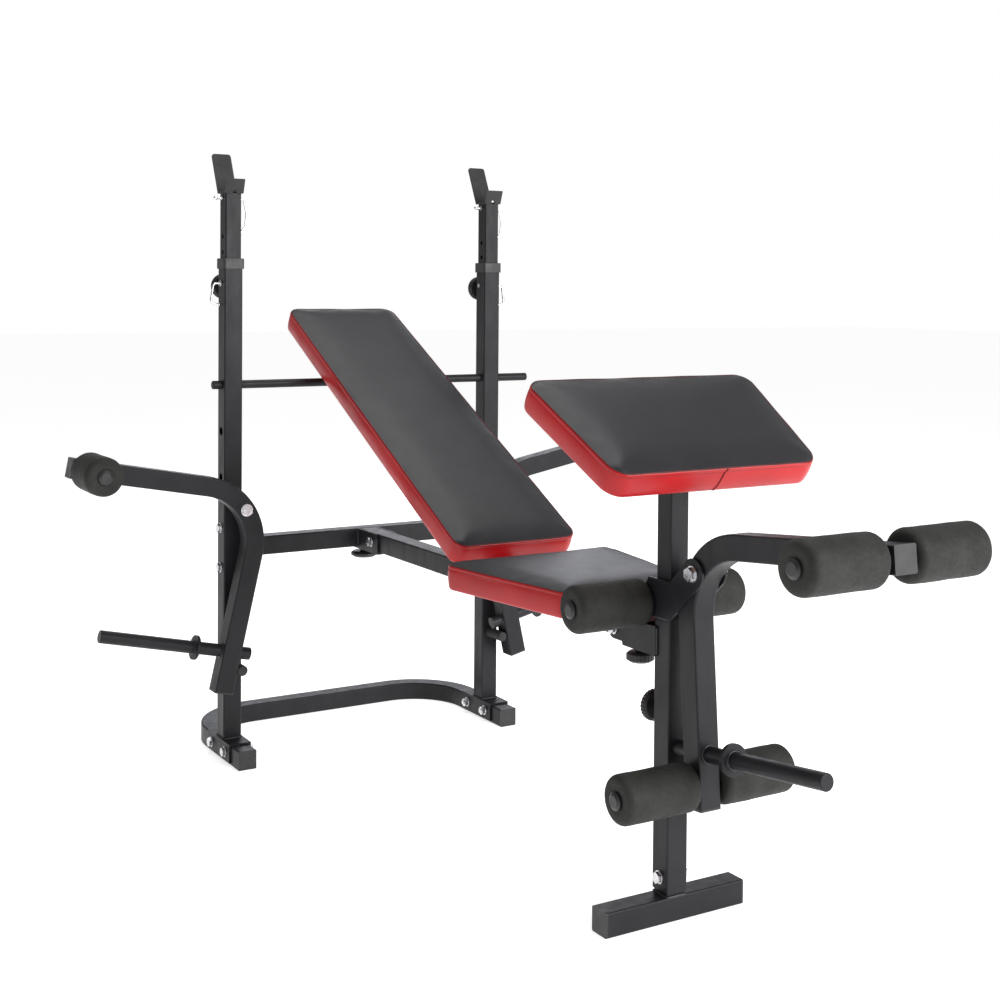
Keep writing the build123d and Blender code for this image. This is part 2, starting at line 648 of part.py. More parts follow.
def dev_post_line():
    """Where the plate post crosses the developer's lower limb, and its direction."""
    up, down = dev_directions()
    reach = DEV_LOWER_LENGTH + CAP - POST_FROM_END
    crossing = (0, DEV_CORNER_Y + down[0] * reach, DEV_CORNER_Z + down[1] * reach)
    rise = math.radians(DEV_LOWER_ANGLE + DEV_POST_TILT)
    return crossing, (0, -math.cos(rise), math.sin(rise))


def make_plate_post(crossing, direction, stub):
    """Plate post with its stop flange; the short end behind the limb is the rest stop."""
    back = tuple(-d for d in direction)
    with BuildPart() as post:
        round_bar(along(crossing, back, stub), direction, POST_R, POST_REACH + stub)
        round_bar(along(crossing, direction, FLANGE_FROM_AXIS), direction, FLANGE_R, FLANGE_T)
        ends = post.edges().filter_by(GeomType.CIRCLE).filter_by(lambda e: abs(e.radius - POST_R) < 0.01)
        tips = ends.sort_by(lambda e: (e.center() - Vector(*crossing)).length)
        fillet(tips[-1:], radius=2.0)
    return post


def make_arm_caps(side):
    corner = (side * ARM_CORNER_X, ARM_CORNER_Z)
    up, down = arm_directions(side)
    upper, lower = limb_points(corner, up, down, ARM_UPPER_LENGTH, ARM_LOWER_LENGTH)
    roller = arm_roller_axis(side)
    low_mouth = Plane((lower[0], ARM_Y, lower[1]), x_dir=(0, 1, 0), z_dir=(down[0], 0, down[1]))
    high_mouth = Plane((upper[0], ARM_Y, upper[1]), x_dir=(0, 1, 0), z_dir=(up[0], 0, up[1]))
    with BuildPart() as caps:
        end_cap(low_mouth, TUBE, TUBE - 2 * WALL)
        with BuildSketch(high_mouth) as cover:
            RectangleRounded(TUBE, TUBE, TUBE_CORNER)
        extrude(cover.sketch, amount=CAP)
        roller_cap((roller[0], ARM_Y - TUBE / 2 - ARM_ROLLER_LENGTH - 2 - GAP, roller[1]), (0, -1, 0))
    return caps


def roller_cap(point, direction):
    """Mushroom cap that keeps a foam roller on its bar."""
    with Locations(Plane(origin=point, z_dir=direction).location):
        Cylinder(ROLLER_CAP_R, 2.5, align=(Align.CENTER, Align.CENTER, Align.MIN))
        with Locations((0, 0, 2.5)):
            Cone(
                ROLLER_CAP_R, ROLLER_CAP_R - 5, ROLLER_CAP_T - 2.5,
                align=(Align.CENTER, Align.CENTER, Align.MIN),
            )


def make_roller(point, direction, length):
    """Foam roller with a bore for its bar and rounded rims."""
    with BuildPart() as roller:
        with Locations(Plane(origin=point, z_dir=direction).location):
            Cylinder(ROLLER_R, length, align=(Align.CENTER, Align.CENTER, Align.MIN))
            Cylinder(
                ROLLER_BORE_R, length, align=(Align.CENTER, Align.CENTER, Align.MIN), mode=Mode.SUBTRACT
            )
        rims = roller.edges().filter_by(GeomType.CIRCLE).filter_by(lambda e: e.radius > ROLLER_R - 0.1)
        fillet(rims, radius=ROLLER_ROUND)
    return roller


def make_arm_bumpers():
    """Rubber stops on the uprights that the arms' lower limbs hang against."""
    with BuildPart() as bumpers:
        for side in (-1, 1):
            up, down = arm_directions(side)
            reach = (ARM_CORNER_Z - BUMPER_Z) / -down[1]
            axis_x = side * ARM_CORNER_X + down[0] * reach
            x = axis_x - side * (TUBE / 2 + BUMPER_R + GAP) / -down[1]
            round_bar((x, UPRIGHT_Y - TUBE / 2, BUMPER_Z), (0, -1, 0), BUMPER_R, 60.0)
        fillet(bumpers.edges().filter_by(GeomType.CIRCLE).group_by(Axis.Y)[0], radius=2.5)
    return bumpers


def make_arm_bolts():
    """Pivot bolts of the two arms, nutted behind the uprights."""
    with BuildPart() as bolts:
        for side in (-1, 1):
            pivot = arm_pivot(side)
            face = (pivot[0], ARM_Y - TUBE / 2, pivot[1])
            grip = UPRIGHT_Y + TUBE / 2 - ARM_Y + TUBE / 2
            round_bar(along(face, (0, -1, 0), GAP), (0, -1, 0), 13.0, 2.0)
            hex_block(along(face, (0, -1, 0), GAP + 2.0), (0, -1, 0), 19.0, 7.5)
            round_bar(along(face, (0, -1, 0), GAP), (0, 1, 0), ARM_PIVOT_R, grip + GAP + 15.0)
            round_bar(along(face, (0, 1, 0), grip), (0, 1, 0), 13.0, 2.0)
            hex_block(along(face, (0, 1, 0), grip + 2.0), (0, 1, 0), 19.0, 10.0)
    return bolts


def make_support_bar():
    """Round bar through both uprights, under the top of the backrest."""
    with BuildPart() as bar:
        left = -UPRIGHT_X - TUBE / 2 - 20.0
        round_bar((left, UPRIGHT_Y, SUPPORT_BAR_Z), (1, 0, 0), SUPPORT_BAR_R, 777.0)
        rims = bar.edges().filter_by(GeomType.CIRCLE)
        fillet(rims, radius=2.5)
    return bar


# --- front leg -------------------------------------------------------------------------------


def make_leg_tube():
    with BuildPart() as leg:
        extrude(square_section(Plane((0, LEG_Y, LEG_LOW_Z)), TUBE, LEG_BORE), amount=LEG_TOP_Z - LEG_LOW_Z)
        with BuildSketch(Plane((0, LEG_Y + TUBE / 2, POST_KNOB_Z), x_dir=(1, 0, 0), z_dir=(0, 1, 0))):
            RegularPolygon(WELD_NUT / 2, 6, major_radius=False)
        extrude(amount=WELD_NUT_T)
        round_bar((0, LEG_Y + TUBE / 2 + 10, POST_KNOB_Z), (0, -1, 0), BOLT_R + RUNNING, 16.0, Mode.SUBTRACT)
        round_hole_x(LEG_Y, LEG_BOLT_Z, BOLT_R + BOLT_CLEAR, -25, 25)
    return leg


def make_leg_bracket():
    """Channel welded behind the leg: the beam end sits in it on the fold bolt."""
    inner = TUBE / 2 + SIDE_GAP
    y0 = LEG_Y
    with BuildPart() as bracket:
        for side in (-1, 1):
            cheek_plane = Plane(origin=(side * inner, 0, 0), x_dir=(0, side, 0), z_dir=(side, 0, 0))
            with BuildSketch(cheek_plane) as cheek:
                with BuildLine():
                    Polyline(
                        (side * (y0 + 12), LEG_PLATE_LOW_Z), (side * (y0 + 100), LEG_PLATE_LOW_Z),
                        (side * (y0 + 102), FOLD_Z - 18), (side * FOLD_Y, FOLD_Z - 18),
                        (side * FOLD_Y, FOLD_Z + 18), (side * (y0 + 12), FOLD_Z + 24), close=True,
                    )
                make_face()
                with Locations((side * FOLD_Y, FOLD_Z)):
                    Circle(18.0)
            extrude(cheek.sketch, amount=PLATE)
        with Locations((0, y0 + 59.2, LEG_PLATE_LOW_Z + PLATE / 2)):
            Box(2 * inner + 1, 77.6, PLATE)
        round_hole_x(FOLD_Y, FOLD_Z, BOLT_R + RUNNING, -30, 30)
        round_bar((0, FOLD_KNOB_Y, LEG_PLATE_LOW_Z - 2), (0, 0, 1), BOLT_R + RUNNING, 8.0, Mode.SUBTRACT)
    return bracket


def make_ear_bracket():
    """Bracket round the leg top: knee bar behind, developer ears in front."""
    py, pz = dev_pivot()
    y0 = LEG_Y
    with BuildPart() as ears:
        for side in (-1, 1):
            with BuildSketch(
                Plane(origin=(side * EAR_INNER_X, 0, 0), x_dir=(0, side, 0), z_dir=(side, 0, 0))
            ) as ear:
                with BuildLine():
                    Polyline(
                        (side * (y0 - 24.5), 482), (side * (y0 + 20), 482), (side * KNEE_Y, KNEE_Z - 18),
                        (side * KNEE_Y, KNEE_Z + 18), (side * (y0 + 30), LEG_TOP_Z),
                        (side * (y0 - 24.5), LEG_TOP_Z), (side * (py + 8), pz + 23.0),
                        (side * (py - 18.0), pz - 16.0), close=True,
                    )
                make_face()
                with Locations((side * KNEE_Y, KNEE_Z)):
                    Circle(18.0)
                with Locations((side * py, pz)):
                    Circle(24.0)
            extrude(ear.sketch, amount=PLATE)
        with Locations((0, y0 - TUBE / 2 - 0.3 - PLATE / 2, (482 + LEG_TOP_Z) / 2)):
            Box(2 * EAR_INNER_X + 1, PLATE, LEG_TOP_Z - 482)
        round_hole_x(py, pz, ARM_PIVOT_R + 0.1, -30, 30)
        reach = ROLLER_START + ROLLER_LENGTH + GAP
        round_bar((-reach, KNEE_Y, KNEE_Z), (1, 0, 0), ROLLER_BAR_R, 2 * reach)
    return ears


def make_foot_bar():
    """Front foot tube with the welded stub that goes up inside the leg."""
    with BuildPart() as foot:
        start = Plane(origin=(-FOOT_LENGTH / 2, LEG_Y, TUBE / 2), x_dir=(0, 1, 0), z_dir=(1, 0, 0))
        extrude(square_section(start, TUBE, TUBE - 2 * WALL), amount=FOOT_LENGTH)
        extrude(
            square_section(Plane((0, LEG_Y, TUBE)), PREACHER_POST, PREACHER_POST - 2 * WALL),
            amount=STUB_TOP_Z - TUBE,
        )
        round_hole_x(LEG_Y, LEG_BOLT_Z, BOLT_R + BOLT_CLEAR, -25, 25)
    return foot


def make_foot_caps():
    with BuildPart() as caps:
        for side in (-1, 1):
            end = (side * FOOT_LENGTH / 2, LEG_Y, TUBE / 2)
            mouth = Plane(origin=end, x_dir=(0, 1, 0), z_dir=(side, 0, 0))
            end_cap(mouth, TUBE, TUBE - 2 * WALL)
    return caps


def make_leg_bolt():
    with BuildPart() as bolt:
        through_bolt((-TUBE / 2, LEG_Y, LEG_BOLT_Z), (1, 0, 0), TUBE, BOLT_R)
    return bolt


def make_developer_bolt():
    py, pz = dev_pivot()
    face = EAR_INNER_X + PLATE
    with BuildPart() as bolt:
        round_bar((-face, py, pz), (-1, 0, 0), 13.0, 2.0)
        hex_block((-face - 2.0, py, pz), (-1, 0, 0), 19.0, 7.5)
        round_bar((-face, py, pz), (1, 0, 0), ARM_PIVOT_R, 2 * face + 15.0)
        round_bar((face, py, pz), (1, 0, 0), 13.0, 2.0)
        hex_block((face + 2.0, py, pz), (1, 0, 0), 19.0, 10.0)
    return bolt


def make_knee_caps():
    with BuildPart() as caps:
        for side in (-1, 1):
            x = side * (ROLLER_START + ROLLER_LENGTH + GAP)
            roller_cap((x, KNEE_Y, KNEE_Z), (side, 0, 0))
    return caps


# --- leg developer -----------------------------------------------------------------------------


def dev_roller_axes():
    """Centres of the upper and lower roller bars in the Y-Z plane."""
    up, down = dev_directions()
    a = DEV_UPPER_LENGTH - DEV_UPPER_ROLLER
    b = DEV_LOWER_LENGTH - DEV_LOWER_ROLLER
    upper = (DEV_CORNER_Y + up[0] * a, DEV_CORNER_Z + up[1] * a)
    lower = (DEV_CORNER_Y + down[0] * b, DEV_CORNER_Z + down[1] * b)
    return upper, lower


def make_developer_tube():
    corner = (DEV_CORNER_Y, DEV_CORNER_Z)
    up, down = dev_directions()
    upper, lower = limb_points(corner, up, down, DEV_UPPER_LENGTH, DEV_LOWER_LENGTH)
    py, pz = dev_pivot()
    with BuildPart() as tube:
        with BuildLine(Plane.YZ) as run:
            FilletPolyline(upper, corner, lower, radius=ARM_BEND)
        mouth = Plane(origin=(0, upper[0], upper[1]), x_dir=(1, 0, 0), z_dir=(0, -up[0], -up[1]))
        sweep(sections=square_section(mouth, TUBE, TUBE - 2 * WALL), path=run.line)
        round_bar((-TUBE / 2, py, pz), (1, 0, 0), 10.0, TUBE)
        reach = ROLLER_START + ROLLER_LENGTH + GAP
        for axis in dev_roller_axes():
            round_bar((-reach, axis[0], axis[1]), (1, 0, 0), ROLLER_BAR_R, 2 * reach)
        round_hole_x(py, pz, ARM_PIVOT_R + RUNNING, -30, 30)
        start, direction = dev_post_line()
        round_bar(along(start, direction, -40), direction, POST_R + 0.1, 80.0, Mode.SUBTRACT)
    return tube


def make_developer_caps():
    corner = (DEV_CORNER_Y, DEV_CORNER_Z)
    up, down = dev_directions()
    upper, lower = limb_points(corner, up, down, DEV_UPPER_LENGTH, DEV_LOWER_LENGTH)
    with BuildPart() as caps:
        for point, direction in ((upper, up), (lower, down)):
            mouth = Plane(
                origin=(0, point[0], point[1]), x_dir=(1, 0, 0), z_dir=(0, direction[0], direction[1])
            )
            with BuildSketch(mouth) as cover:
                RectangleRounded(TUBE, TUBE, TUBE_CORNER)
            extrude(cover.sketch, amount=CAP)
        for axis in dev_roller_axes():
            for side in (-1, 1):
                x = side * (ROLLER_START + ROLLER_LENGTH + GAP)
                roller_cap((x, axis[0], axis[1]), (side, 0, 0))
    return caps


# --- pads --------------------------------------------------------------------------------------


def seat_outline(inset, z):
    """Seat outline: widest at the rear, tapering to the front, rounded corners."""
    with BuildSketch(Plane.XY.offset(z)) as outline:
        with BuildLine():
            Polyline(
                (-SEAT_FRONT_HALF, SEAT_FRONT_Y), (SEAT_FRONT_HALF, SEAT_FRONT_Y),
                (SEAT_REAR_HALF, SEAT_REAR_Y), (-SEAT_REAR_HALF, SEAT_REAR_Y), close=True,
            )
        make_face()
        fillet(outline.vertices().group_by(Axis.Y)[0], radius=30.0)
        fillet(outline.vertices().group_by(Axis.Y)[-1], radius=28.0)
        if inset:
            offset(amount=-inset, mode=Mode.REPLACE)
    return outline.sketch


def make_seat_board():
    with BuildPart() as board:
        extrude(seat_outline(BOARD_INSET, SEAT_LOW_Z), amount=BOARD_T)
    return board


def make_seat_pad():
    with BuildPart() as pad:
        extrude(seat_outline(0, SEAT_LOW_Z + BOARD_T), amount=PAD_T - BOARD_T)
        fillet(pad.edges().group_by(Axis.Z)[-1], radius=7.0)
    return pad


def make_slab(plane, halves, depth, middle, low, thickness, corner, round_top):
    """Board or pad on a sloping plane; halves are its half widths at the low and high end."""
    with BuildPart() as slab:
        with BuildSketch(plane.offset(low)) as outline:
            with BuildLine():
                Polyline(
                    (-halves[0], middle - depth / 2), (halves[0], middle - depth / 2),
                    (halves[1], middle + depth / 2), (-halves[1], middle + depth / 2), close=True,
                )
            make_face()
            fillet(outline.vertices(), radius=corner)
        extrude(outline.sketch, amount=thickness)
        if round_top:
            top = slab.faces().sort_by(Axis(plane.origin, plane.z_dir))[-1]
            fillet(top.edges(), radius=round_top)
    return slab


def make_backrest_frame():
    """Two square rails under the backrest, drilled for the hinge rod, and cross straps."""
    with BuildPart() as frame:
        for side in (-1, 1):
            with BuildSketch(BACK_PLANE) as rail:
                with Locations((side * RAIL_X, 10.0 + 405.0)):
                    Rectangle(RAIL_WIDTH, 830.0)
            extrude(rail.sketch, amount=-RAIL_T)
        for v in (120.0, 480.0, 790.0):
            with BuildSketch(BACK_PLANE) as strap:
                with Locations((0, v)):
                    Rectangle(2 * RAIL_X, 30.0)
            extrude(strap.sketch, amount=-PLATE)
        round_hole_x(BACK_HINGE_Y, BACK_HINGE_Z, BACK_ROD_R + RUNNING, -60, 60)
    return frame


def make_preacher_post():
    """Preacher post with the sloping plate that carries the board."""
    with BuildPart() as post:
        extrude(
            square_section(Plane((0, LEG_Y, PREACHER_POST_LOW_Z)), PREACHER_POST, PREACHER_POST - 2 * WALL),
            amount=PREACHER_PLANE_Z + 30 - PREACHER_POST_LOW_Z,
        )
        split(bisect_by=PREACHER_PLANE.offset(-PLATE / 2), keep=Keep.BOTTOM)
        with BuildSketch(PREACHER_PLANE) as plate:
            RectangleRounded(120.0, 150.0, 8.0)
        extrude(plate.sketch, amount=-PLATE)
    return post


# --- build and write -----------------------------------------------------------------------------

SIDES = ((-1, "left"), (1, "right"))

save(make_base_tube(), "base_tube")
save(make_base_caps(), "base_caps")
for side, word in SIDES:
    save(make_upright(side), "upright_" + word)
    save(make_inner_post(side), "inner_post_" + word)
    save(make_bar_catch(side), "bar_catch_" + word)
    save(make_catch_pin(side), "catch_pin_" + word)
    save(make_lock_pin(side), "lock_pin_" + word)
    knob_face = (side * UPRIGHT_X, UPRIGHT_Y + TUBE / 2 + 8.0 + GAP, CLAMP_KNOB_Z)
    save(make_knob(knob_face, (0, 1, 0), 27.0, 14.0, 0, 9.5), "clamp_knob_" + word)
save(make_upright_collars(), "upright_collars")
save(make_cross_member(), "cross_member")
save(make_frame_bolts(), "frame_bolts")
save(make_main_beam(), "main_beam")
save(make_beam_bolts(), "beam_bolts")
save(make_backrest_rod(), "backrest_rod")
save(make_support_bar(), "support_bar")
beam_knob_face = (0, UPRIGHT_Y, BEAM_Z - TUBE / 2 - PLATE - GAP)
save(make_knob(beam_knob_face, (0, 0, -1), 29.0, 14.0, 0, 9.0), "beam_knob")

for side, word in SIDES:
    save(make_arm_tube(side), "arm_tube_" + word)
    post_crossing, post_direction = arm_post_line(side)
    save(make_plate_post(post_crossing, post_direction, 44.0), "arm_post_" + word)
    save(make_arm_caps(side), "arm_caps_" + word)
    roller_x, roller_z = arm_roller_axis(side)
    roller_point = (roller_x, ARM_Y - TUBE / 2 - 2, roller_z)
    save(make_roller(roller_point, (0, -1, 0), ARM_ROLLER_LENGTH), "arm_roller_" + word)
save(make_arm_bumpers(), "arm_bumpers")
save(make_arm_bolts(), "arm_bolts")

save(make_leg_tube(), "leg_tube")
save(make_leg_bracket(), "leg_bracket")
save(make_ear_bracket(), "ear_bracket")
save(make_foot_bar(), "foot_bar")
save(make_foot_caps(), "foot_caps")
save(make_leg_bolt(), "leg_bolt")
save(make_developer_bolt(), "developer_bolt")
save(make_knee_caps(), "knee_caps")
post_knob_face = (0, LEG_Y + TUBE / 2 + 8.0 + GAP, POST_KNOB_Z)
save(make_knob(post_knob_face, (0, 1, 0), 26.0, 15.0, 26, 9.7), "post_knob")
fold_knob_face = (0, FOLD_KNOB_Y, LEG_PLATE_LOW_Z - GAP)
save(make_knob(fold_knob_face, (0, 0, -1), 23.0, 18.0, 24, 9.0), "fold_knob")

save(make_developer_tube(), "developer_tube")
dev_crossing, dev_direction = dev_post_line()
leg_face = LEG_Y - TUBE / 2
stub = (leg_face - GAP - dev_crossing[1]) / -dev_direction[1] - 2.0
save(make_plate_post(dev_crossing, dev_direction, stub), "developer_post")
save(make_developer_caps(), "developer_caps")
upper_axis, lower_axis = dev_roller_axes()
roller_axes = {"knee_roller": (KNEE_Y, KNEE_Z), "upper_roller": upper_axis, "lower_roller": lower_axis}
for name, axis in roller_axes.items():
    for side, word in SIDES:
        start = (side * ROLLER_START, axis[0], axis[1])
        save(make_roller(start, (side, 0, 0), ROLLER_LENGTH), name + "_" + word)

save(make_seat_board(), "seat_board")
save(make_seat_pad(), "seat_pad")
save(make_backrest_frame(), "backrest_frame")
back_mid = BACK_LENGTH / 2
foam_t = PAD_T - BOARD_T
back_halves = (BACK_WIDTH / 2, BACK_WIDTH / 2)
back_board_halves = tuple(half - BOARD_INSET for half in back_halves)
back_board_length = BACK_LENGTH - 2 * BOARD_INSET
back_board = make_slab(BACK_PLANE, back_board_halves, back_board_length, back_mid, 0, BOARD_T, 15, 0)
save(back_board, "backrest_board")
save(make_slab(BACK_PLANE, back_halves, BACK_LENGTH, back_mid, BOARD_T, foam_t, 25, 7), "backrest_pad")
save(make_preacher_post(), "preacher_post")
halves = (PREACHER_FRONT_HALF, PREACHER_REAR_HALF)
board_halves = tuple(half - BOARD_INSET for half in halves)
board_depth = PREACHER_DEPTH - 2 * BOARD_INSET
preacher_board = make_slab(PREACHER_PLANE, board_halves, board_depth, PREACHER_MID, 0, BOARD_T, 15, 0)
save(preacher_board, "preacher_board")
preacher_pad = make_slab(PREACHER_PLANE, halves, PREACHER_DEPTH, PREACHER_MID, BOARD_T, foam_t, 28, 7)
save(preacher_pad, "preacher_pad")

print(len(written), "pieces written")
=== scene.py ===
import json
import math

import bpy
import numpy as np
from mathutils import Matrix, Vector, noise


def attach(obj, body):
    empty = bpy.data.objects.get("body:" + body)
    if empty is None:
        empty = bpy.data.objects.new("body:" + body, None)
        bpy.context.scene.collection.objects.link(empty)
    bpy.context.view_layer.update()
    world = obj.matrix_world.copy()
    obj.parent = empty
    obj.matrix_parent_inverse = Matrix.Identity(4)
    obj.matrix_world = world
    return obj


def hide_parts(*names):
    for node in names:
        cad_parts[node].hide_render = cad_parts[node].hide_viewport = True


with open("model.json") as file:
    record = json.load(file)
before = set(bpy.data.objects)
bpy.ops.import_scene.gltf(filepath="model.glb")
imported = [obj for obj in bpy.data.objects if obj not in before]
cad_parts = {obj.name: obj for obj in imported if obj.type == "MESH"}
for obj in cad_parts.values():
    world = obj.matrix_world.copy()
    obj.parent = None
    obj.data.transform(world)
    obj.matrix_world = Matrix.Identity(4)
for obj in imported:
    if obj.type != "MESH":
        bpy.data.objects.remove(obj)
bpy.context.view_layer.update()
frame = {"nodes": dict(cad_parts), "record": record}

# --- dimensions repeated from the CAD, in metres -------------------------------------------
LEG_Y = -0.43806
UPRIGHT_Y = LEG_Y + 1.124
UPRIGHT_X = 0.316
TUBE_HALF = 0.020
ARM_Y = UPRIGHT_Y - 0.062
SADDLE_TOP = 0.044
BEAM_Z = 0.448
PAD_THICK = 0.050
SEAT_FRONT_Y = LEG_Y + 0.100
SEAT_REAR_Y = LEG_Y + 0.432
BACK_ANGLE = math.radians(27.9)
BACK_ORIGIN = Vector((0, LEG_Y + 0.484, 0.494))
PREACHER_ANGLE = math.radians(30.5)
PREACHER_ORIGIN = Vector((0, LEG_Y, 0.752))
PIVOT_X, PIVOT_Z = 0.30998, 0.53651
ARM_POST_AT = Vector((0.339, ARM_Y, 0.2403))
ARM_POST_DIR = Vector((0.97515, 0, 0.22155))
ARM_ROLLER_AT = Vector((0.6394, ARM_Y, 0.6367))
DEV_PIVOT = Vector((0, LEG_Y - 0.081276, 0.564847))
DEV_POST_AT = Vector((0, LEG_Y - 0.07678, 0.28445))
DEV_POST_DIR = Vector((0, -math.cos(math.radians(6.9)), math.sin(math.radians(6.9))))
DEV_UPPER_AT = Vector((0, LEG_Y - 0.462886, 0.648236))
DEV_LOWER_AT = Vector((0, LEG_Y - 0.080387, 0.237591))
KNEE_AT = Vector((0, LEG_Y + 0.045, 0.500))
FOLD_AT = Vector((0, LEG_Y + 0.124, 0.442))
ROLLER_R = 0.038
ROLLER_LENGTH = 0.137
ARM_ROLLER_LENGTH = 0.116
ROLLER_START_X = 0.026
SIDES = ((-1, "left"), (1, "right"))


# --- node materials ------------------------------------------------------------------------

def link(tree, source, target):
    tree.links.new(source, target)


def noise_node(tree, coords, scale, detail=3.0, stretch=None):
    """Noise texture on object coordinates, with an optional stretch along each axis."""
    if stretch:
        mapping = tree.nodes.new("ShaderNodeMapping")
        mapping.inputs["Scale"].default_value = stretch
        link(tree, coords, mapping.inputs["Vector"])
        coords = mapping.outputs["Vector"]
    node = tree.nodes.new("ShaderNodeTexNoise")
    node.inputs["Scale"].default_value = scale
    node.inputs["Detail"].default_value = detail
    link(tree, coords, node.inputs["Vector"])
    return node.outputs["Fac"]


def cell_node(tree, coords, scale):
    """Distance to the nearest edge between cells."""
    node = tree.nodes.new("ShaderNodeTexVoronoi")
    node.feature = "DISTANCE_TO_EDGE"
    node.inputs["Scale"].default_value = scale
    link(tree, coords, node.inputs["Vector"])
    return node.outputs["Distance"]


def ramp_node(tree, factor, low, high, start=0.35, end=0.65):
    """Colour ramp between two RGB colours."""
    node = tree.nodes.new("ShaderNodeValToRGB")
    node.color_ramp.elements[0].position = start
    node.color_ramp.elements[0].color = (*low, 1)
    node.color_ramp.elements[1].position = end
    node.color_ramp.elements[1].color = (*high, 1)
    link(tree, factor, node.inputs["Fac"])
    return node.outputs["Color"]


def range_node(tree, factor, low, high, start=0.3, end=0.7):
    """Map start to end of the factor onto low to high."""
    node = tree.nodes.new("ShaderNodeMapRange")
    node.inputs["From Min"].default_value = start
    node.inputs["From Max"].default_value = end
    node.inputs["To Min"].default_value = low
    node.inputs["To Max"].default_value = high
    link(tree, factor, node.inputs["Value"])
    return node.outputs["Result"]


def bump_chain(tree, layers):
    """Stack of bump nodes. Each layer is (height socket, distance in metres, strength)."""
    normal = None
    for height, distance, strength in layers:
        node = tree.nodes.new("ShaderNodeBump")
        node.inputs["Distance"].default_value = distance
        node.inputs["Strength"].default_value = strength
        link(tree, height, node.inputs["Height"])
        if normal is not None:
            link(tree, normal, node.inputs["Normal"])
        normal = node.outputs["Normal"]
    return normal


def start_material(name, metallic=0.0, specular=0.5, coat=0.0, coat_rough=0.1):
    """New node material. Returns the material, its tree, its shader and object coordinates."""
    material = bpy.data.materials.new(name)
    material.use_nodes = True
    tree = material.node_tree
    shader = tree.nodes["Principled BSDF"]
    shader.inputs["Metallic"].default_value = metallic
    shader.inputs["Specular IOR Level"].default_value = specular
    shader.inputs["Coat Weight"].default_value = coat
    shader.inputs["Coat Roughness"].default_value = coat_rough
    coords = tree.nodes.new("ShaderNodeTexCoord").outputs["Object"]
    return material, tree, shader, coords


def powder_coat(name, dark, light):
    """Satin powder coat: fine orange peel, cloudy tone and a few dull scuffs."""
    material, tree, shader, coords = start_material(name, specular=0.25)
    cloud = noise_node(tree, coords, 14, 4)
    link(tree, ramp_node(tree, cloud, dark, light), shader.inputs["Base Color"])
    scuff = noise_node(tree, coords, 60, 6, (1.0, 1.0, 0.25))
    link(tree, range_node(tree, scuff, 0.36, 0.50), shader.inputs["Roughness"])
    peel = noise_node(tree, coords, 900, 2)
    wave = noise_node(tree, coords, 120, 2)
    normal = bump_chain(tree, [(wave, 0.0006, 0.10), (peel, 0.0003, 0.18)])
    link(tree, normal, shader.inputs["Normal"])
    return material


def bright_metal(name, dark, light, rough, grain):
    """Plated steel with fine directional wear and slightly uneven gloss."""
    material, tree, shader, coords = start_material(name, metallic=1.0)
    cloud = noise_node(tree, coords, 90, 4)
    link(tree, ramp_node(tree, cloud, dark, light), shader.inputs["Base Color"])
    streak = noise_node(tree, coords, 260, 5, (1.0, 1.0, 6.0))
    link(tree, range_node(tree, streak, rough[0], rough[1]), shader.inputs["Roughness"])
    link(tree, bump_chain(tree, [(streak, 0.0002, grain)]), shader.inputs["Normal"])
    return material


def moulded_plastic(name, dark, light, rough):
    """Moulded plastic: fine spark-eroded texture and faint flow marks."""
    material, tree, shader, coords = start_material(name, specular=0.5)
    flow = noise_node(tree, coords, 30, 3, (1.0, 0.4, 1.0))
    link(tree, ramp_node(tree, flow, dark, light), shader.inputs["Base Color"])
    patch = noise_node(tree, coords, 55, 4)
    link(tree, range_node(tree, patch, rough[0], rough[1]), shader.inputs["Roughness"])
    grit = noise_node(tree, coords, 1600, 2)
    link(tree, bump_chain(tree, [(grit, 0.0002, 0.25)]), shader.inputs["Normal"])
    return material


def foam_rubber(name, dark, light):
    """Skinned closed-cell foam: small cells, soft dents and a dull, slightly dusty skin."""
    material, tree, shader, coords = start_material(name, specular=0.25)
    cloud = noise_node(tree, coords, 22, 5)
    link(tree, ramp_node(tree, cloud, dark, light), shader.inputs["Base Color"])
    patch = noise_node(tree, coords, 160, 4)
    link(tree, range_node(tree, patch, 0.62, 0.80), shader.inputs["Roughness"])
    cells = cell_node(tree, coords, 700)
    dents = noise_node(tree, coords, 45, 2)
    normal = bump_chain(tree, [(dents, 0.002, 0.12), (cells, 0.0005, 0.35)])
    link(tree, normal, shader.inputs["Normal"])
    return material


def vinyl(name, dark, light, rough, coat):
    """Upholstery vinyl: pebbled grain, soft pulls in the skin and cloudy gloss."""
    material, tree, shader, coords = start_material(name, specular=0.3, coat=coat, coat_rough=0.15)
    cloud = noise_node(tree, coords, 9, 4)
    link(tree, ramp_node(tree, cloud, dark, light), shader.inputs["Base Color"])
    patch = noise_node(tree, coords, 28, 5)
    link(tree, range_node(tree, patch, rough[0], rough[1], 0.2, 0.8), shader.inputs["Roughness"])
    warp = tree.nodes.new("ShaderNodeVectorMath")
    warp.operation = "ADD"
    wobble = tree.nodes.new("ShaderNodeTexNoise")
    wobble.inputs["Scale"].default_value = 300
    scaled = tree.nodes.new("ShaderNodeVectorMath")
    scaled.operation = "SCALE"
    scaled.inputs["Scale"].default_value = 0.0012
    link(tree, coords, wobble.inputs["Vector"])
    link(tree, wobble.outputs["Color"], scaled.inputs[0])
    link(tree, coords, warp.inputs[0])
    link(tree, scaled.outputs["Vector"], warp.inputs[1])
    pebble = cell_node(tree, warp.outputs["Vector"], 780)
    pulls = noise_node(tree, coords, 18, 3)
    normal = bump_chain(tree, [(pulls, 0.002, 0.10), (pebble, 0.00035, 0.22)])
    link(tree, normal, shader.inputs["Normal"])
    return material


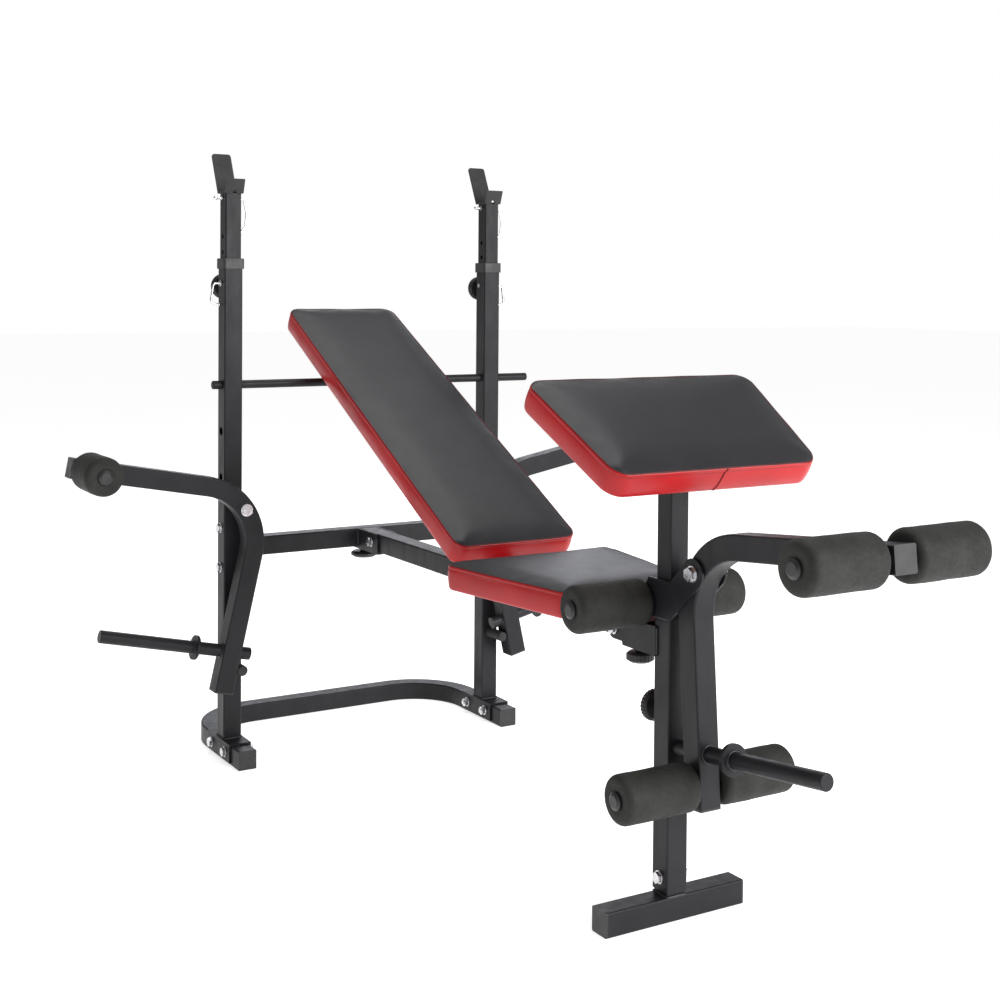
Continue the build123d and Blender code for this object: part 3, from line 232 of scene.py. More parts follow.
def raw_board(name):
    """Raw board: long grain bands and fibres."""
    material, tree, shader, coords = start_material(name, specular=0.3)
    bands = noise_node(tree, coords, 30, 6, (6.0, 0.35, 1.0))
    colour = ramp_node(tree, bands, (0.30, 0.20, 0.11), (0.50, 0.37, 0.23), 0.3, 0.7)
    link(tree, colour, shader.inputs["Base Color"])
    fibres = noise_node(tree, coords, 420, 4, (4.0, 0.3, 1.0))
    link(tree, range_node(tree, fibres, 0.6, 0.85), shader.inputs["Roughness"])
    link(tree, bump_chain(tree, [(fibres, 0.0004, 0.4)]), shader.inputs["Normal"])
    return material


def weld_metal(name):
    """Powder coat over a weld bead: rippled and a little glossier than the tube."""
    material, tree, shader, coords = start_material(name, specular=0.5)
    cloud = noise_node(tree, coords, 200, 3)
    colour = ramp_node(tree, cloud, (0.010, 0.010, 0.012), (0.018, 0.018, 0.022))
    link(tree, colour, shader.inputs["Base Color"])
    link(tree, range_node(tree, cloud, 0.3, 0.45), shader.inputs["Roughness"])
    ripple = noise_node(tree, coords, 650, 3)
    link(tree, bump_chain(tree, [(ripple, 0.0005, 0.5)]), shader.inputs["Normal"])
    return material


MAT = {
    "frame_paint": powder_coat("powder_coat", (0.010, 0.010, 0.012), (0.015, 0.015, 0.018)),
    "catch_paint": powder_coat("catch_coat", (0.028, 0.028, 0.030), (0.040, 0.040, 0.042)),
    "zinc_steel": bright_metal("zinc_plate", (0.52, 0.52, 0.54), (0.74, 0.74, 0.76), (0.18, 0.34), 0.25),
    "chrome": bright_metal("chrome_wire", (0.62, 0.62, 0.64), (0.82, 0.82, 0.84), (0.08, 0.20), 0.12),
    "black_plastic": moulded_plastic(
        "black_plastic", (0.012, 0.012, 0.013), (0.022, 0.022, 0.023), (0.34, 0.5)
    ),
    "bumper_rubber": moulded_plastic(
        "bumper_rubber", (0.014, 0.014, 0.014), (0.026, 0.026, 0.026), (0.6, 0.8)
    ),
    "foam": foam_rubber("foam_skin", (0.020, 0.0205, 0.0190), (0.032, 0.033, 0.030)),
    "plywood": raw_board("raw_board"),
    "black_vinyl": vinyl("black_vinyl", (0.018, 0.018, 0.021), (0.022, 0.022, 0.025), (0.38, 0.45), 0.0),
    "red_vinyl": vinyl("red_vinyl", (0.36, 0.004, 0.007), (0.46, 0.007, 0.010), (0.28, 0.40), 0.06),
    "red_thread": moulded_plastic("red_thread", (0.20, 0.004, 0.006), (0.32, 0.010, 0.012), (0.5, 0.7)),
    # dark seam thread: its dark colour partly paints the shade in the seam grooves
    "thread_and_painted_shade": moulded_plastic("thread_and_painted_shade", (0.03, 0.004, 0.005), (0.06, 0.006, 0.008), (0.5, 0.7)),
    "weld": weld_metal("coated_weld"),
}


def paint_cad_nodes():
    """Give every CAD node the material of its record slot."""
    for part in frame["record"]["subparts"]:
        mesh = frame["nodes"][part["node"]].data
        mesh.materials.clear()
        mesh.materials.append(MAT[part["material_slot"]])


# --- mesh helpers --------------------------------------------------------------------------

def make_object(name, verts, faces, materials, face_slots=None):
    """Mesh object from plain lists; face_slots gives each face's material index."""
    mesh = bpy.data.meshes.new(name)
    mesh.from_pydata([tuple(v) for v in verts], [], faces)
    for material in materials:
        mesh.materials.append(material)
    if face_slots is not None:
        mesh.polygons.foreach_set("material_index", face_slots)
    mesh.polygons.foreach_set("use_smooth", [True] * len(mesh.polygons))
    mesh.update()
    obj = bpy.data.objects.new(name, mesh)
    bpy.context.scene.collection.objects.link(obj)
    return obj


class Builder:
    """Collects verts and faces of several small forms that become one object."""

    def __init__(self):
        self.verts = []
        self.faces = []

    def add(self, verts, faces):
        base = len(self.verts)
        self.verts.extend(verts)
        self.faces.extend([tuple(i + base for i in f) for f in faces])

    def sweep(self, path, radius, segments=8, closed=False):
        """Round tube along a path; radius is a number or one value for each point."""
        points = [Vector(p) for p in path]
        count = len(points)
        radii = radius if isinstance(radius, (list, tuple)) else [radius] * count
        verts, faces = [], []
        across = None
        for i, point in enumerate(points):
            ahead = points[(i + 1) % count] if closed or i < count - 1 else point
            behind = points[i - 1] if closed or i > 0 else point
            tangent = (ahead - behind).normalized()
            if across is None:
                helper = Vector((0, 0, 1)) if abs(tangent.z) < 0.9 else Vector((1, 0, 0))
                across = tangent.cross(helper).normalized()
            across = (across - tangent * across.dot(tangent)).normalized()
            other = tangent.cross(across)
            for k in range(segments):
                a = 2 * math.pi * k / segments
                verts.append(point + (across * math.cos(a) + other * math.sin(a)) * radii[i])
        rings = count if closed else count - 1
        for i in range(rings):
            j = (i + 1) % count
            for k in range(segments):
                n = (k + 1) % segments
                faces.append((i * segments + k, j * segments + k, j * segments + n, i * segments + n))
        if not closed:
            faces.append(tuple(range(segments)))
            faces.append(tuple(reversed(range((count - 1) * segments, count * segments))))
        self.add(verts, faces)

    def lathe(self, centre, axis, profile, segments):
        """Turn a profile of (distance along axis, radius) pairs; radius 0 closes an end."""
        axis = Vector(axis).normalized()
        helper = Vector((0, 0, 1)) if abs(axis.z) < 0.9 else Vector((1, 0, 0))
        across = axis.cross(helper).normalized()
        other = axis.cross(across)
        verts, faces = [], []
        rows = []
        for reach, radius in profile:
            at = Vector(centre) + axis * reach
            if radius <= 0:
                rows.append([len(verts)])
                verts.append(at)
                continue
            row = []
            for k in range(segments):
                a = 2 * math.pi * k / segments
                row.append(len(verts))
                verts.append(at + (across * math.cos(a) + other * math.sin(a)) * radius)
            rows.append(row)
        for low, high in zip(rows, rows[1:]):
            for k in range(segments):
                n = (k + 1) % segments
                if len(low) == 1 and len(high) > 1:
                    faces.append((low[0], high[k], high[n]))
                elif len(high) == 1 and len(low) > 1:
                    faces.append((low[k], high[0], low[n]))
                elif len(low) > 1:
                    faces.append((low[k], high[k], high[n], low[n]))
        self.add(verts, faces)

    def build(self, name, body, material, slot=None):
        """Make the object and set the body it rides on; the slot argument is not used."""
        obj = make_object(name, self.verts, self.faces, [MAT[material]])
        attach(obj, body)
        return obj


# --- pads ----------------------------------------------------------------------------------
# (height above the board's underside, outset from the outline), in mm, seam row first
SIDE_ROWS = (
    (42.7, 0.9), (41.2, 1.9), (39.2, 2.0), (37.4, 1.0), (35.4, 1.5), (31.0, 2.0), (25.5, 2.3), (20.0, 2.3),
    (14.5, 2.0), (9.0, 1.4), (4.5, 0.6), (1.6, -0.6), (-0.2, -3.0), (-0.8, -7.0), (-0.8, -13.0), (-0.8, -19.0),
    (0.4, -19.6),
)
GRID_STEP = 0.0075
SEAM_HEIGHT = 0.0435
SEAM_INSET = 0.0006
STITCH_ROW = 3              # row of SIDE_ROWS that the topstitching pulls in
FIRST_FIXED_ROW = 11        # rows from here down are held by the board
EDGE_ROLL = 0.0085          # how fast the top rises from the seam
CROWN = 0.0022              # how much the middle of the top stands above its shoulders
SEAM_WAVE = 0.0011          # how far the seam wanders up and down
WAVE_ABOVE = 30             # side rows above this height, in mm, follow the seam
STITCH_SPACING = 0.0046
STITCH_LENGTH = 0.0033
STAPLE_SPACING = 0.028
STAPLE_HALF = 0.0055
CLOTH_STEPS = 20


def rounded(x, y, half_x, half_y, corner):
    """Move a point of a rectangle so that the rectangle's corner becomes round."""
    px, py = (abs(x) - (half_x - corner)) / corner, (abs(y) - (half_y - corner)) / corner
    if px <= 0 or py <= 0:
        return x, y
    rx, ry = px * math.sqrt(1 - py * py / 2), py * math.sqrt(1 - px * px / 2)
    return (
        math.copysign(half_x - corner + rx * corner, x),
        math.copysign(half_y - corner + ry * corner, y),
    )


class Pad:
    """One upholstered pad: crowned black top, red side band and a wrapped underside."""

    def __init__(self, name, body, node, matrix, half_x, v_range, corners, widths=None, seed=0.0):
        self.name, self.body, self.node, self.matrix = name, body, node, matrix
        self.half_x, self.v_range, self.corners = half_x, v_range, corners
        self.widths = widths or (half_x, half_x)
        self.seed = seed
        self.half_y = (v_range[1] - v_range[0]) / 2
        self.nu = int(round(2 * half_x / GRID_STEP))
        self.nv = int(round(2 * self.half_y / GRID_STEP))
        self.make_mesh()

    def outline_point(self, i, j):
        """Grid point of the top, with round corners and tapered sides."""
        x = (2 * i / self.nu - 1) * self.half_x
        y = (2 * j / self.nv - 1) * self.half_y
        corner = self.corners[0] if y < 0 else self.corners[1]
        x, y = rounded(x, y, self.half_x, self.half_y, corner)
        share = (y / self.half_y + 1) / 2
        x *= (self.widths[0] + (self.widths[1] - self.widths[0]) * share) / self.half_x
        return x, y + (self.v_range[0] + self.v_range[1]) / 2

    def edge_distance(self, i, j):
        """Distance from a grid point to the nearest side."""
        return min(
            i / self.nu * 2 * self.half_x, (1 - i / self.nu) * 2 * self.half_x,
            j / self.nv * 2 * self.half_y, (1 - j / self.nv) * 2 * self.half_y,
        )

    def top_height(self, i, j):
        """The top rolls up from the seam and is highest in the middle."""
        distance = self.edge_distance(i, j)
        rise = PAD_THICK - SEAM_HEIGHT
        s, t = 2 * i / self.nu - 1, 2 * j / self.nv - 1
        crown = CROWN * (1 - s * s) * (1 - t * t)
        return SEAM_HEIGHT + rise * (1 - math.exp(-distance / EDGE_ROLL)) + crown

    def make_mesh(self):
        """Grid top, seam ring, side rows and one face under the wrap."""
        nu, nv = self.nu, self.nv
        verts, faces, slots = [], [], []
        for j in range(nv + 1):
            for i in range(nu + 1):
                x, y = self.outline_point(i, j)
                verts.append(Vector((x, y, self.top_height(i, j))))
        for j in range(nv):
            for i in range(nu):
                a = j * (nu + 1) + i
                faces.append((a, a + 1, a + nu + 2, a + nu + 1))
                slots.append(0)
        ring = [i for i in range(nu)] + [j * (nu + 1) + nu for j in range(nv)]
        ring += [nv * (nu + 1) + i for i in range(nu, 0, -1)] + [j * (nu + 1) for j in range(nv, 0, -1)]
        count = len(ring)
        base = [verts[k].copy() for k in ring]
        outward = []
        for k in range(count):
            run = base[(k + 1) % count] - base[k - 1]
            outward.append(Vector((run.y, -run.x, 0)).normalized())
        travel = 0.0
        waves = []
        for k in range(count):
            travel += (base[k] - base[k - 1]).length
            waves.append(noise.noise(Vector((travel * 14, self.seed, 0))))
        for k in range(count):
            verts[ring[k]] = base[k] - outward[k] * SEAM_INSET + Vector((0, 0, SEAM_WAVE * waves[k]))
        rows = [ring]
        for height, outset in SIDE_ROWS:
            row = []
            for k in range(count):
                follow = SEAM_WAVE * waves[k] if height > WAVE_ABOVE else 0.0
                row.append(len(verts))
                verts.append(base[k] + outward[k] * outset / 1000)
                verts[-1].z = height / 1000 + follow
            rows.append(row)
        for upper, lower in zip(rows, rows[1:]):
            for k in range(count):
                n = (k + 1) % count
                faces.append((upper[n], upper[k], lower[k], lower[n]))
                slots.append(1)
        faces.append(tuple(reversed(rows[-1])))
        slots.append(1)
        self.rows, self.outward, self.count = rows, outward, count
        self.free = set(range((nu + 1) * (nv + 1))) - set(ring)
        for index, row in enumerate(rows[1:]):
            if index != STITCH_ROW and index < FIRST_FIXED_ROW:
                self.free.update(row)
        materials = [MAT["black_vinyl"], MAT["red_vinyl"]]
        self.obj = make_object(self.name, verts, faces, materials, slots)

    def inflate(self, cap_top=0.0035, cap_side=0.0016):
        """Cloth pressure on the cover, held at the seam, the stitching and the board."""
        obj = self.obj
        before = np.array([v.co for v in obj.data.vertices], float)
        pins = obj.vertex_groups.new(name="held")
        held = [i for i in range(len(obj.data.vertices)) if i not in self.free]
        pins.add(held, 1.0, "REPLACE")
        cloth = obj.modifiers.new("cloth", "CLOTH")
        settings = cloth.settings
        settings.vertex_group_mass = "held"
        settings.quality = 6
        settings.mass = 0.25
        settings.tension_stiffness = 12
        settings.compression_stiffness = 12
        settings.bending_stiffness = 0.8
        settings.effector_weights.gravity = 0
        settings.use_pressure = True
        settings.uniform_pressure_force = 4
        scene = bpy.context.scene
        for step in range(1, CLOTH_STEPS + 1):
            scene.frame_set(step)
        shape = obj.evaluated_get(bpy.context.evaluated_depsgraph_get())
        after = np.array([v.co for v in shape.data.vertices], float)
        obj.modifiers.remove(cloth)
        obj.vertex_groups.remove(pins)
        scene.frame_set(1)
        moved = after - before
        length = np.linalg.norm(moved, axis=1)
        cap = np.full(len(length), cap_side)
        cap[: (self.nu + 1) * (self.nv + 1)] = cap_top
        scale = np.where(length > 1e-9, cap * np.tanh(length / cap) / np.maximum(length, 1e-9), 0)
        obj.data.vertices.foreach_set("co", (before + moved * scale[:, None]).astype(np.float32).ravel())
        obj.data.update()

    def pucker(self):
        """Small pulls in the cover beside the seam."""
        mesh = self.obj.data
        for j in range(self.nv + 1):
            for i in range(self.nu + 1):
                vert = mesh.vertices[j * (self.nu + 1) + i]
                fade = math.exp(-self.edge_distance(i, j) / 0.018)
                if 0 < self.edge_distance(i, j) < 0.09:
                    pull = noise.noise(vert.co * 42 + Vector((self.seed, 0, 0)))
                    vert.co.z += 0.0011 * pull * fade
        for index in range(5, FIRST_FIXED_ROW):
            for vert_index, outward in zip(self.rows[index], self.outward):
                vert = mesh.vertices[vert_index]
                wide = Vector((vert.co.x * 16, vert.co.y * 16, vert.co.z * 30 + self.seed))
                vert.co += outward * 0.0010 * noise.noise(wide)
        mesh.update()

    def row_point(self, row, travel):
        """Point on a side row at a distance along the seam, with its outward direction."""
        mesh = self.obj.data
        lengths = self.lengths
        travel %= self.perimeter
        k = min(int(np.searchsorted(lengths, travel, side="right")) - 1, self.count - 1)
        n = (k + 1) % self.count
        share = (travel - lengths[k]) / max(lengths[k + 1] - lengths[k], 1e-9)
        a = mesh.vertices[self.rows[row][k]].co
        b = mesh.vertices[self.rows[row][n]].co
        return a.lerp(b, share), self.outward[k].lerp(self.outward[n], share).normalized()

    def measure(self):
        """Running length along the seam."""
        mesh = self.obj.data
        lengths = [0.0]
        seam = self.rows[0]
        for k in range(self.count):
            a, b = mesh.vertices[seam[k]].co, mesh.vertices[seam[(k + 1) % self.count]].co
            lengths.append(lengths[-1] + (b - a).length)
        self.lengths = np.array(lengths)
        self.perimeter = lengths[-1]

    def dress(self):
        """Seam cord in the groove, topstitching, and staples under the board's edge. The cord's dark colour
        partly paints the shade in the seam groove.
        """
        self.measure()
        cord, stitches, staples = Builder(), Builder(), Builder()
        path = []
        for k in range(self.count):
            path.append(self.obj.data.vertices[self.rows[0][k]].co + self.outward[k] * 0.0003)
        # dark cord in the seam groove: seam thread whose dark colour also paints the groove's shade
        cord.sweep(path, 0.0009, 6, closed=True)
        for n in range(int(self.perimeter / STITCH_SPACING)):
            start, outward = self.row_point(STITCH_ROW + 1, n * STITCH_SPACING)
            end, _ = self.row_point(STITCH_ROW + 1, n * STITCH_SPACING + STITCH_LENGTH)
            lift = outward * 0.0003
            middle = (start + end) / 2 + outward * 0.0004
            run = [start - lift, start + lift * 0.6, middle, end + lift * 0.6, end - lift]
            stitches.sweep(run, [0.0002, 0.00042, 0.0005, 0.00042, 0.0002], 6)
        for n in range(int(self.perimeter / STAPLE_SPACING)):
            at, outward = self.row_point(len(SIDE_ROWS) - 1, n * STAPLE_SPACING + 0.01)
            along = Vector((-outward.y, outward.x, 0)) * STAPLE_HALF
            at = at + outward * 0.004
            low, high = Vector((0, 0, -0.0005)), Vector((0, 0, 0.001))
            corners = [at - along + high, at - along + low * 0.6, at - along * 0.85 + low,
                       at + along * 0.85 + low, at + along + low * 0.6, at + along + high]
            staples.sweep(corners, 0.00055, 6)
        for builder, word, material, slot in (
            (cord, "seam", "thread_and_painted_shade", "red_vinyl"), (stitches, "topstitch", "red_thread", "red_vinyl"),
            (staples, "staples", "zinc_steel", "zinc_steel"),
        ):
            piece = make_object(self.name + "_" + word, builder.verts, builder.faces, [MAT[material]])
            piece.matrix_world = self.matrix
            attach(piece, self.body)

    def closing_seam(self, travel):
        """Upright seam where the red band's two ends meet, with its folded edge. The dark line beside the fold
        is partly seam thread and partly painted shade.
        """
        fold, line = Builder(), Builder()
        outer, inner = [], []
        for row in range(1, FIRST_FIXED_ROW + 2):
            lean = (row - 1) * 0.0011
            at, outward = self.row_point(row, travel - lean)
            outer.append(at + outward * 0.0002)
            at, outward = self.row_point(row, travel - lean - 0.0022)
            inner.append(at + outward * 0.00005)
        fold.sweep(outer, 0.0010, 8)
        line.sweep(inner, 0.0006, 6)
        for builder, word, material in (
            (fold, "band_fold", "red_vinyl"), (line, "band_seam", "thread_and_painted_shade"),
        ):
            piece = make_object(self.name + "_" + word, builder.verts, builder.faces, [MAT[material]])
            piece.matrix_world = self.matrix
            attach(piece, self.body)

    def finish(self, seam_at):
        self.inflate()
        self.pucker()
        self.dress()
        self.closing_seam(seam_at)
        subdivide = self.obj.modifiers.new("smooth", "SUBSURF")
        subdivide.levels = 1
        subdivide.render_levels = 1
        self.obj.matrix_world = self.matrix
        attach(self.obj, self.body)
        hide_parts(self.node)


def sloped(origin, angle):
    """Matrix of a plane that leans back by an angle: local Y runs up the slope."""
    across = Vector((1, 0, 0))
    up_slope = Vector((0, math.cos(angle), math.sin(angle)))
    normal = Vector((0, -math.sin(angle), math.cos(angle)))
    rows = [(across[i], up_slope[i], normal[i], origin[i]) for i in range(3)]
    return Matrix((*rows, (0, 0, 0, 1)))


def make_pads():
    seat_matrix = Matrix.Translation((0, 0, BEAM_Z + TUBE_HALF))
    seat = Pad(
        "seat_cushion", "frame", "seat_pad", seat_matrix, 0.156, (SEAT_FRONT_Y, SEAT_REAR_Y),
        (0.030, 0.028), widths=(0.128, 0.180), seed=3.0,
    )
    seat.finish(0.80)
    back = Pad(
        "backrest_cushion", "backrest", "backrest_pad", sloped(BACK_ORIGIN, BACK_ANGLE), 0.1295,
        (0.0, 0.896), (0.025, 0.025), seed=11.0,
    )
    back.finish(1.30)
    preacher = Pad(
        "preacher_cushion", "preacher", "preacher_pad", sloped(PREACHER_ORIGIN, PREACHER_ANGLE), 0.208,
        (-0.116, 0.132), (0.028, 0.028), widths=(0.194, 0.223), seed=23.0,
    )
    preacher.finish(0.200)


# --- foam rollers --------------------------------------------------------------------------

def roller_profile(length):
    """Half-round rims and ends that dip towards the bore, as (reach, radius) pairs."""
    rim = 0.011
    bore = 0.0065
    rise = [(0.0016, bore), (0.0012, 0.014), (0.0, 0.019), (0.0, 0.0235)]
    for step in range(8):
        a = math.pi / 2 * step / 7
        rise.append((rim - rim * math.cos(a), ROLLER_R - rim + rim * math.sin(a)))
    middle = [(rim + (length - 2 * rim) * step / 24, ROLLER_R) for step in range(1, 24)]
    fall = [(length - reach, radius) for reach, radius in reversed(rise)]
    inside = [(length - 0.004, 0.0063), (length / 2, 0.0063), (0.004, 0.0063)]
    return rise + middle + fall + inside


def make_roller(name, body, node, start, axis, length, seed):
    """Foam roller with a bore and a slightly uneven skin."""
    roller = Builder()
    segments = 72
    profile = roller_profile(length)
    roller.lathe(start, axis, profile, segments)
    last = (len(profile) - 1) * segments
    closing = [(last + k, k, (k + 1) % segments, last + (k + 1) % segments) for k in range(segments)]
    roller.faces.extend(closing)
    axis = Vector(axis)
    verts = []
    for point in roller.verts:
        offset = point - Vector(start)
        radial = offset - axis * offset.dot(axis)
        if radial.length > 0.012:
            wide = noise.noise(point * 26 + Vector((seed, 0, 0)))
            fine = noise.noise(point * 95 + Vector((0, seed, 0)))
            share = radial.length / ROLLER_R
            point = point + radial.normalized() * (0.0007 * wide + 0.00022 * fine) * share
        verts.append(point)
    roller.verts = verts
    obj = roller.build(name, body, "foam")
    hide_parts(node)


def make_rollers():
    for side, word in SIDES:
        start = Vector((side * ARM_ROLLER_AT.x, ARM_Y - TUBE_HALF - 0.002, ARM_ROLLER_AT.z))
        name = "arm_roller_" + word
        make_roller("arm_foam_" + word, name, name, start, (0, -1, 0), ARM_ROLLER_LENGTH, 5 + side)
        for kind, at in (("knee", KNEE_AT), ("upper", DEV_UPPER_AT), ("lower", DEV_LOWER_AT)):
            name = kind + "_roller_" + word
            start = Vector((side * ROLLER_START_X, at.y, at.z))
            seed = at.z * 31 + side * 7
            make_roller(kind + "_foam_" + word, name, name, start, (side, 0, 0), ROLLER_LENGTH, seed)


# --- welds and bolt threads ----------------------------------------------------------------

WELD = 0.0024               # radius of a full bead
WELD_RIPPLE = 0.28          # share by which a bead swells and shrinks
WELD_RIPPLES_PER_M = 420
TUBE_FACE = 0.0203          # a bead's line just outside a 40 mm tube
POST_WELD_R = 0.0136
BAR_WELD_R = 0.0066


def lumpy(path, size, seed):
    """Bead radii that swell and shrink like weld ripples."""
    shift = Vector((seed, 0, 0))
    return [size * (1 + WELD_RIPPLE * noise.noise(Vector(p) * WELD_RIPPLES_PER_M + shift)) for p in path]


def across_axis(axis):
    """Two directions square to an axis and to each other."""
    axis = Vector(axis).normalized()
    helper = Vector((0, 0, 1)) if abs(axis.z) < 0.9 else Vector((1, 0, 0))
    u = axis.cross(helper).normalized()
    return u, axis.cross(u)


def box_loop(centre, u, v, half_u, half_v, corner=0.003, step=0.003):
    """Closed loop round a square tube."""
    u, v, centre = Vector(u), Vector(v), Vector(centre)
    points = []
    for quarter in range(4):
        su, sv = ((1, 1), (-1, 1), (-1, -1), (1, -1))[quarter]
        for k in range(5):
            a = math.pi / 2 * (quarter + k / 4)
            at_u = su * (half_u - corner) + corner * math.cos(a)
            at_v = sv * (half_v - corner) + corner * math.sin(a)
            points.append(centre + u * at_u + v * at_v)
    path = []
    for a, b in zip(points, points[1:] + points[:1]):
        parts = max(1, int((b - a).length / step))
        path.extend([a.lerp(b, k / parts) for k in range(parts)])
    return path


def ring_loop(centre, axis, radius, count=40):
    """Closed loop round an axis."""
    u, v = across_axis(axis)
    path = []
    for k in range(count):
        a = 2 * math.pi * k / count
        path.append(Vector(centre) + (u * math.cos(a) + v * math.sin(a)) * radius)
    return path


def straight(a, b, step=0.0025):
    """Points along a straight line."""
    a, b = Vector(a), Vector(b)
    parts = max(2, int((b - a).length / step))
    return [a.lerp(b, k / parts) for k in range(parts + 1)]


def weld_loop(builder, loop, size, seed):
    builder.sweep(loop, lumpy(loop, size, seed), 8, closed=True)


def weld_run(builder, start, end, size, seed):
    run = straight(start, end)
    builder.sweep(run, lumpy(run, size, seed), 8)


def make_frame_welds():
    """Uprights on their saddles, cross member plates, beam bracket, arm pivots and hinge lugs."""
    welds = Builder()
    face = UPRIGHT_Y - TUBE_HALF
    lug_y = LEG_Y + 0.510
    for side in (-1, 1):
        saddle = (side * UPRIGHT_X, UPRIGHT_Y, SADDLE_TOP)
        weld_loop(welds, box_loop(saddle, (1, 0, 0), (0, 1, 0), 0.0205, 0.0205), WELD, side)
        plate = (side * (UPRIGHT_X - TUBE_HALF - 0.005), UPRIGHT_Y, BEAM_Z)
        weld_loop(welds, box_loop(plate, (0, 1, 0), (0, 0, 1), TUBE_FACE, TUBE_FACE), WELD * 0.9, side)
        x = side * 0.0243
        weld_run(welds, (x, face, BEAM_Z - 0.018), (x, face, BEAM_Z + 0.018), WELD * 0.9, side)
        pivot = (side * PIVOT_X, UPRIGHT_Y - TUBE_HALF, PIVOT_Z)
        weld_loop(welds, ring_loop(pivot, (0, 1, 0), 0.0135), WELD * 0.8, side)
        x, z = side * 0.020, BEAM_Z + 0.014
        for start, end in ((-0.021, -0.012), (0.012, 0.021)):
            weld_run(welds, (x, lug_y + start, z), (x, lug_y + end, z), WELD * 0.8, side)
    welds.build("frame_welds", "frame", "weld", "frame_paint")


def make_leg_welds():
    """Foot stub, ear bracket, beam bracket and knee bar."""
    welds = Builder()
    weld_loop(welds, box_loop((0, LEG_Y, 0.040), (1, 0, 0), (0, 1, 0), 0.0183, 0.0183), WELD, 1)
    for side in (-1, 1):
        x = side * 0.0212
        weld_run(welds, (x, LEG_Y - 0.018, 0.482), (x, LEG_Y + 0.018, 0.482), WELD, 4)
        weld_run(welds, (x, LEG_Y + 0.012, 0.420), (x, LEG_Y + 0.012, 0.464), WELD, 5)
        knee = (side * 0.0248, KNEE_AT.y, KNEE_AT.z)
        weld_loop(welds, ring_loop(knee, (1, 0, 0), 0.0065, 28), WELD * 0.7, 6)
    welds.build("leg_welds", "leg", "weld", "frame_paint")


def make_developer_welds():
    """Plate post and roller bars of the leg developer."""
    welds = Builder()
    add_post_welds(welds, DEV_POST_AT, DEV_POST_DIR)
    for at in (DEV_UPPER_AT, DEV_LOWER_AT):
        for side in (-1, 1):
            bar = (side * TUBE_FACE, at.y, at.z)
            weld_loop(welds, ring_loop(bar, (1, 0, 0), BAR_WELD_R, 28), WELD * 0.7, 7)
    welds.build("developer_welds", "developer", "weld", "frame_paint")


def make_arm_welds():
    """Plate post and roller bar of each arm."""
    for side, word in SIDES:
        welds = Builder()
        at = Vector((side * ARM_POST_AT.x, ARM_POST_AT.y, ARM_POST_AT.z))
        direction = Vector((side * ARM_POST_DIR.x, 0, ARM_POST_DIR.z))
        add_post_welds(welds, at, direction)
        bar = (side * ARM_ROLLER_AT.x, ARM_Y - TUBE_FACE, ARM_ROLLER_AT.z)
        weld_loop(welds, ring_loop(bar, (0, 1, 0), BAR_WELD_R, 28), WELD * 0.6, 8)
        welds.build("arm_welds_" + word, "arm_" + word, "weld", "frame_paint")


def add_post_welds(builder, at, direction):
    """Beads where a plate post passes through its tube and where its flange sits."""
    for reach in (-TUBE_FACE, TUBE_FACE, 0.0737, 0.0803):
        loop = ring_loop(at + direction * reach, direction, POST_WELD_R)
        weld_loop(builder, loop, WELD * 0.8, reach * 90)


THREAD_PITCH = 0.0013
THREAD_WIRE = 0.00045
M10_R, M12_R = 0.0048, 0.0058


def add_thread(builder, start, direction, radius, length=0.0028):
    """Raised helix on the end of a bolt."""
    direction = Vector(direction).normalized()
    u, v = across_axis(direction)
    count = int(length / THREAD_PITCH * 16)
    path = []
    for k in range(count + 1):
        a = 2 * math.pi * k / 16
        ring = (u * math.cos(a) + v * math.sin(a)) * radius
        path.append(Vector(start) + direction * (length * k / count) + ring)
    builder.sweep(path, THREAD_WIRE, 6)


def make_threads():
    """Rolled thread on the bolt ends that stand out of their nuts."""
    fixed, leg = Builder(), Builder()
    for side in (-1, 1):
        for step in (-1, 1):
            start = (side * (UPRIGHT_X - 0.0342), UPRIGHT_Y + step * 0.040, 0.024)
            add_thread(fixed, start, (-side, 0, 0), M10_R)
            start = (side * (UPRIGHT_X - 0.035), UPRIGHT_Y, BEAM_Z + step * 0.042)
            add_thread(fixed, start, (-side, 0, 0), M10_R)
        start = (side * PIVOT_X, UPRIGHT_Y + TUBE_HALF + 0.012, PIVOT_Z)
        add_thread(fixed, start, (0, 1, 0), M12_R)
    for y, z in ((LEG_Y + 1.038, BEAM_Z), (FOLD_AT.y, FOLD_AT.z)):
        add_thread(fixed, (0.0345, y, z), (1, 0, 0), M10_R, 0.0026)
    add_thread(leg, (0.0300, LEG_Y, 0.068), (1, 0, 0), M10_R)
    add_thread(leg, (0.0366, DEV_PIVOT.y, DEV_PIVOT.z), (1, 0, 0), M12_R)
    fixed.build("frame_bolt_threads", "frame", "zinc_steel")
    leg.build("leg_bolt_threads", "leg", "zinc_steel")


# --- floor, light and camera ---------------------------------------------------------------

WORLD_LIGHT = 0.32          # how strongly the pale room lights the object
FLOOR_GLOW = 0.67           # keeps the floor pale in that dim room
FLOOR_HALF = 30.0
FLOOR_DROP = 0.0004         # keeps the floor's face just under the feet


def make_floor():
    material, tree, shader, coords = start_material("pale_floor", specular=0.2)
    cloud = noise_node(tree, coords, 1.5, 3)
    link(tree, ramp_node(tree, cloud, (0.93, 0.93, 0.93), (0.95, 0.95, 0.95)), shader.inputs["Base Color"])
    shader.inputs["Roughness"].default_value = 0.7
    shader.inputs["Emission Color"].default_value = (1, 1, 1, 1)
    shader.inputs["Emission Strength"].default_value = FLOOR_GLOW
    half = FLOOR_HALF
    corners = [(-half, -half, 0), (half, -half, 0), (half, half, 0), (-half, half, 0)]
    floor = make_object("floor", corners, [(0, 1, 2, 3)], [material])
    floor.location.z = -FLOOR_DROP


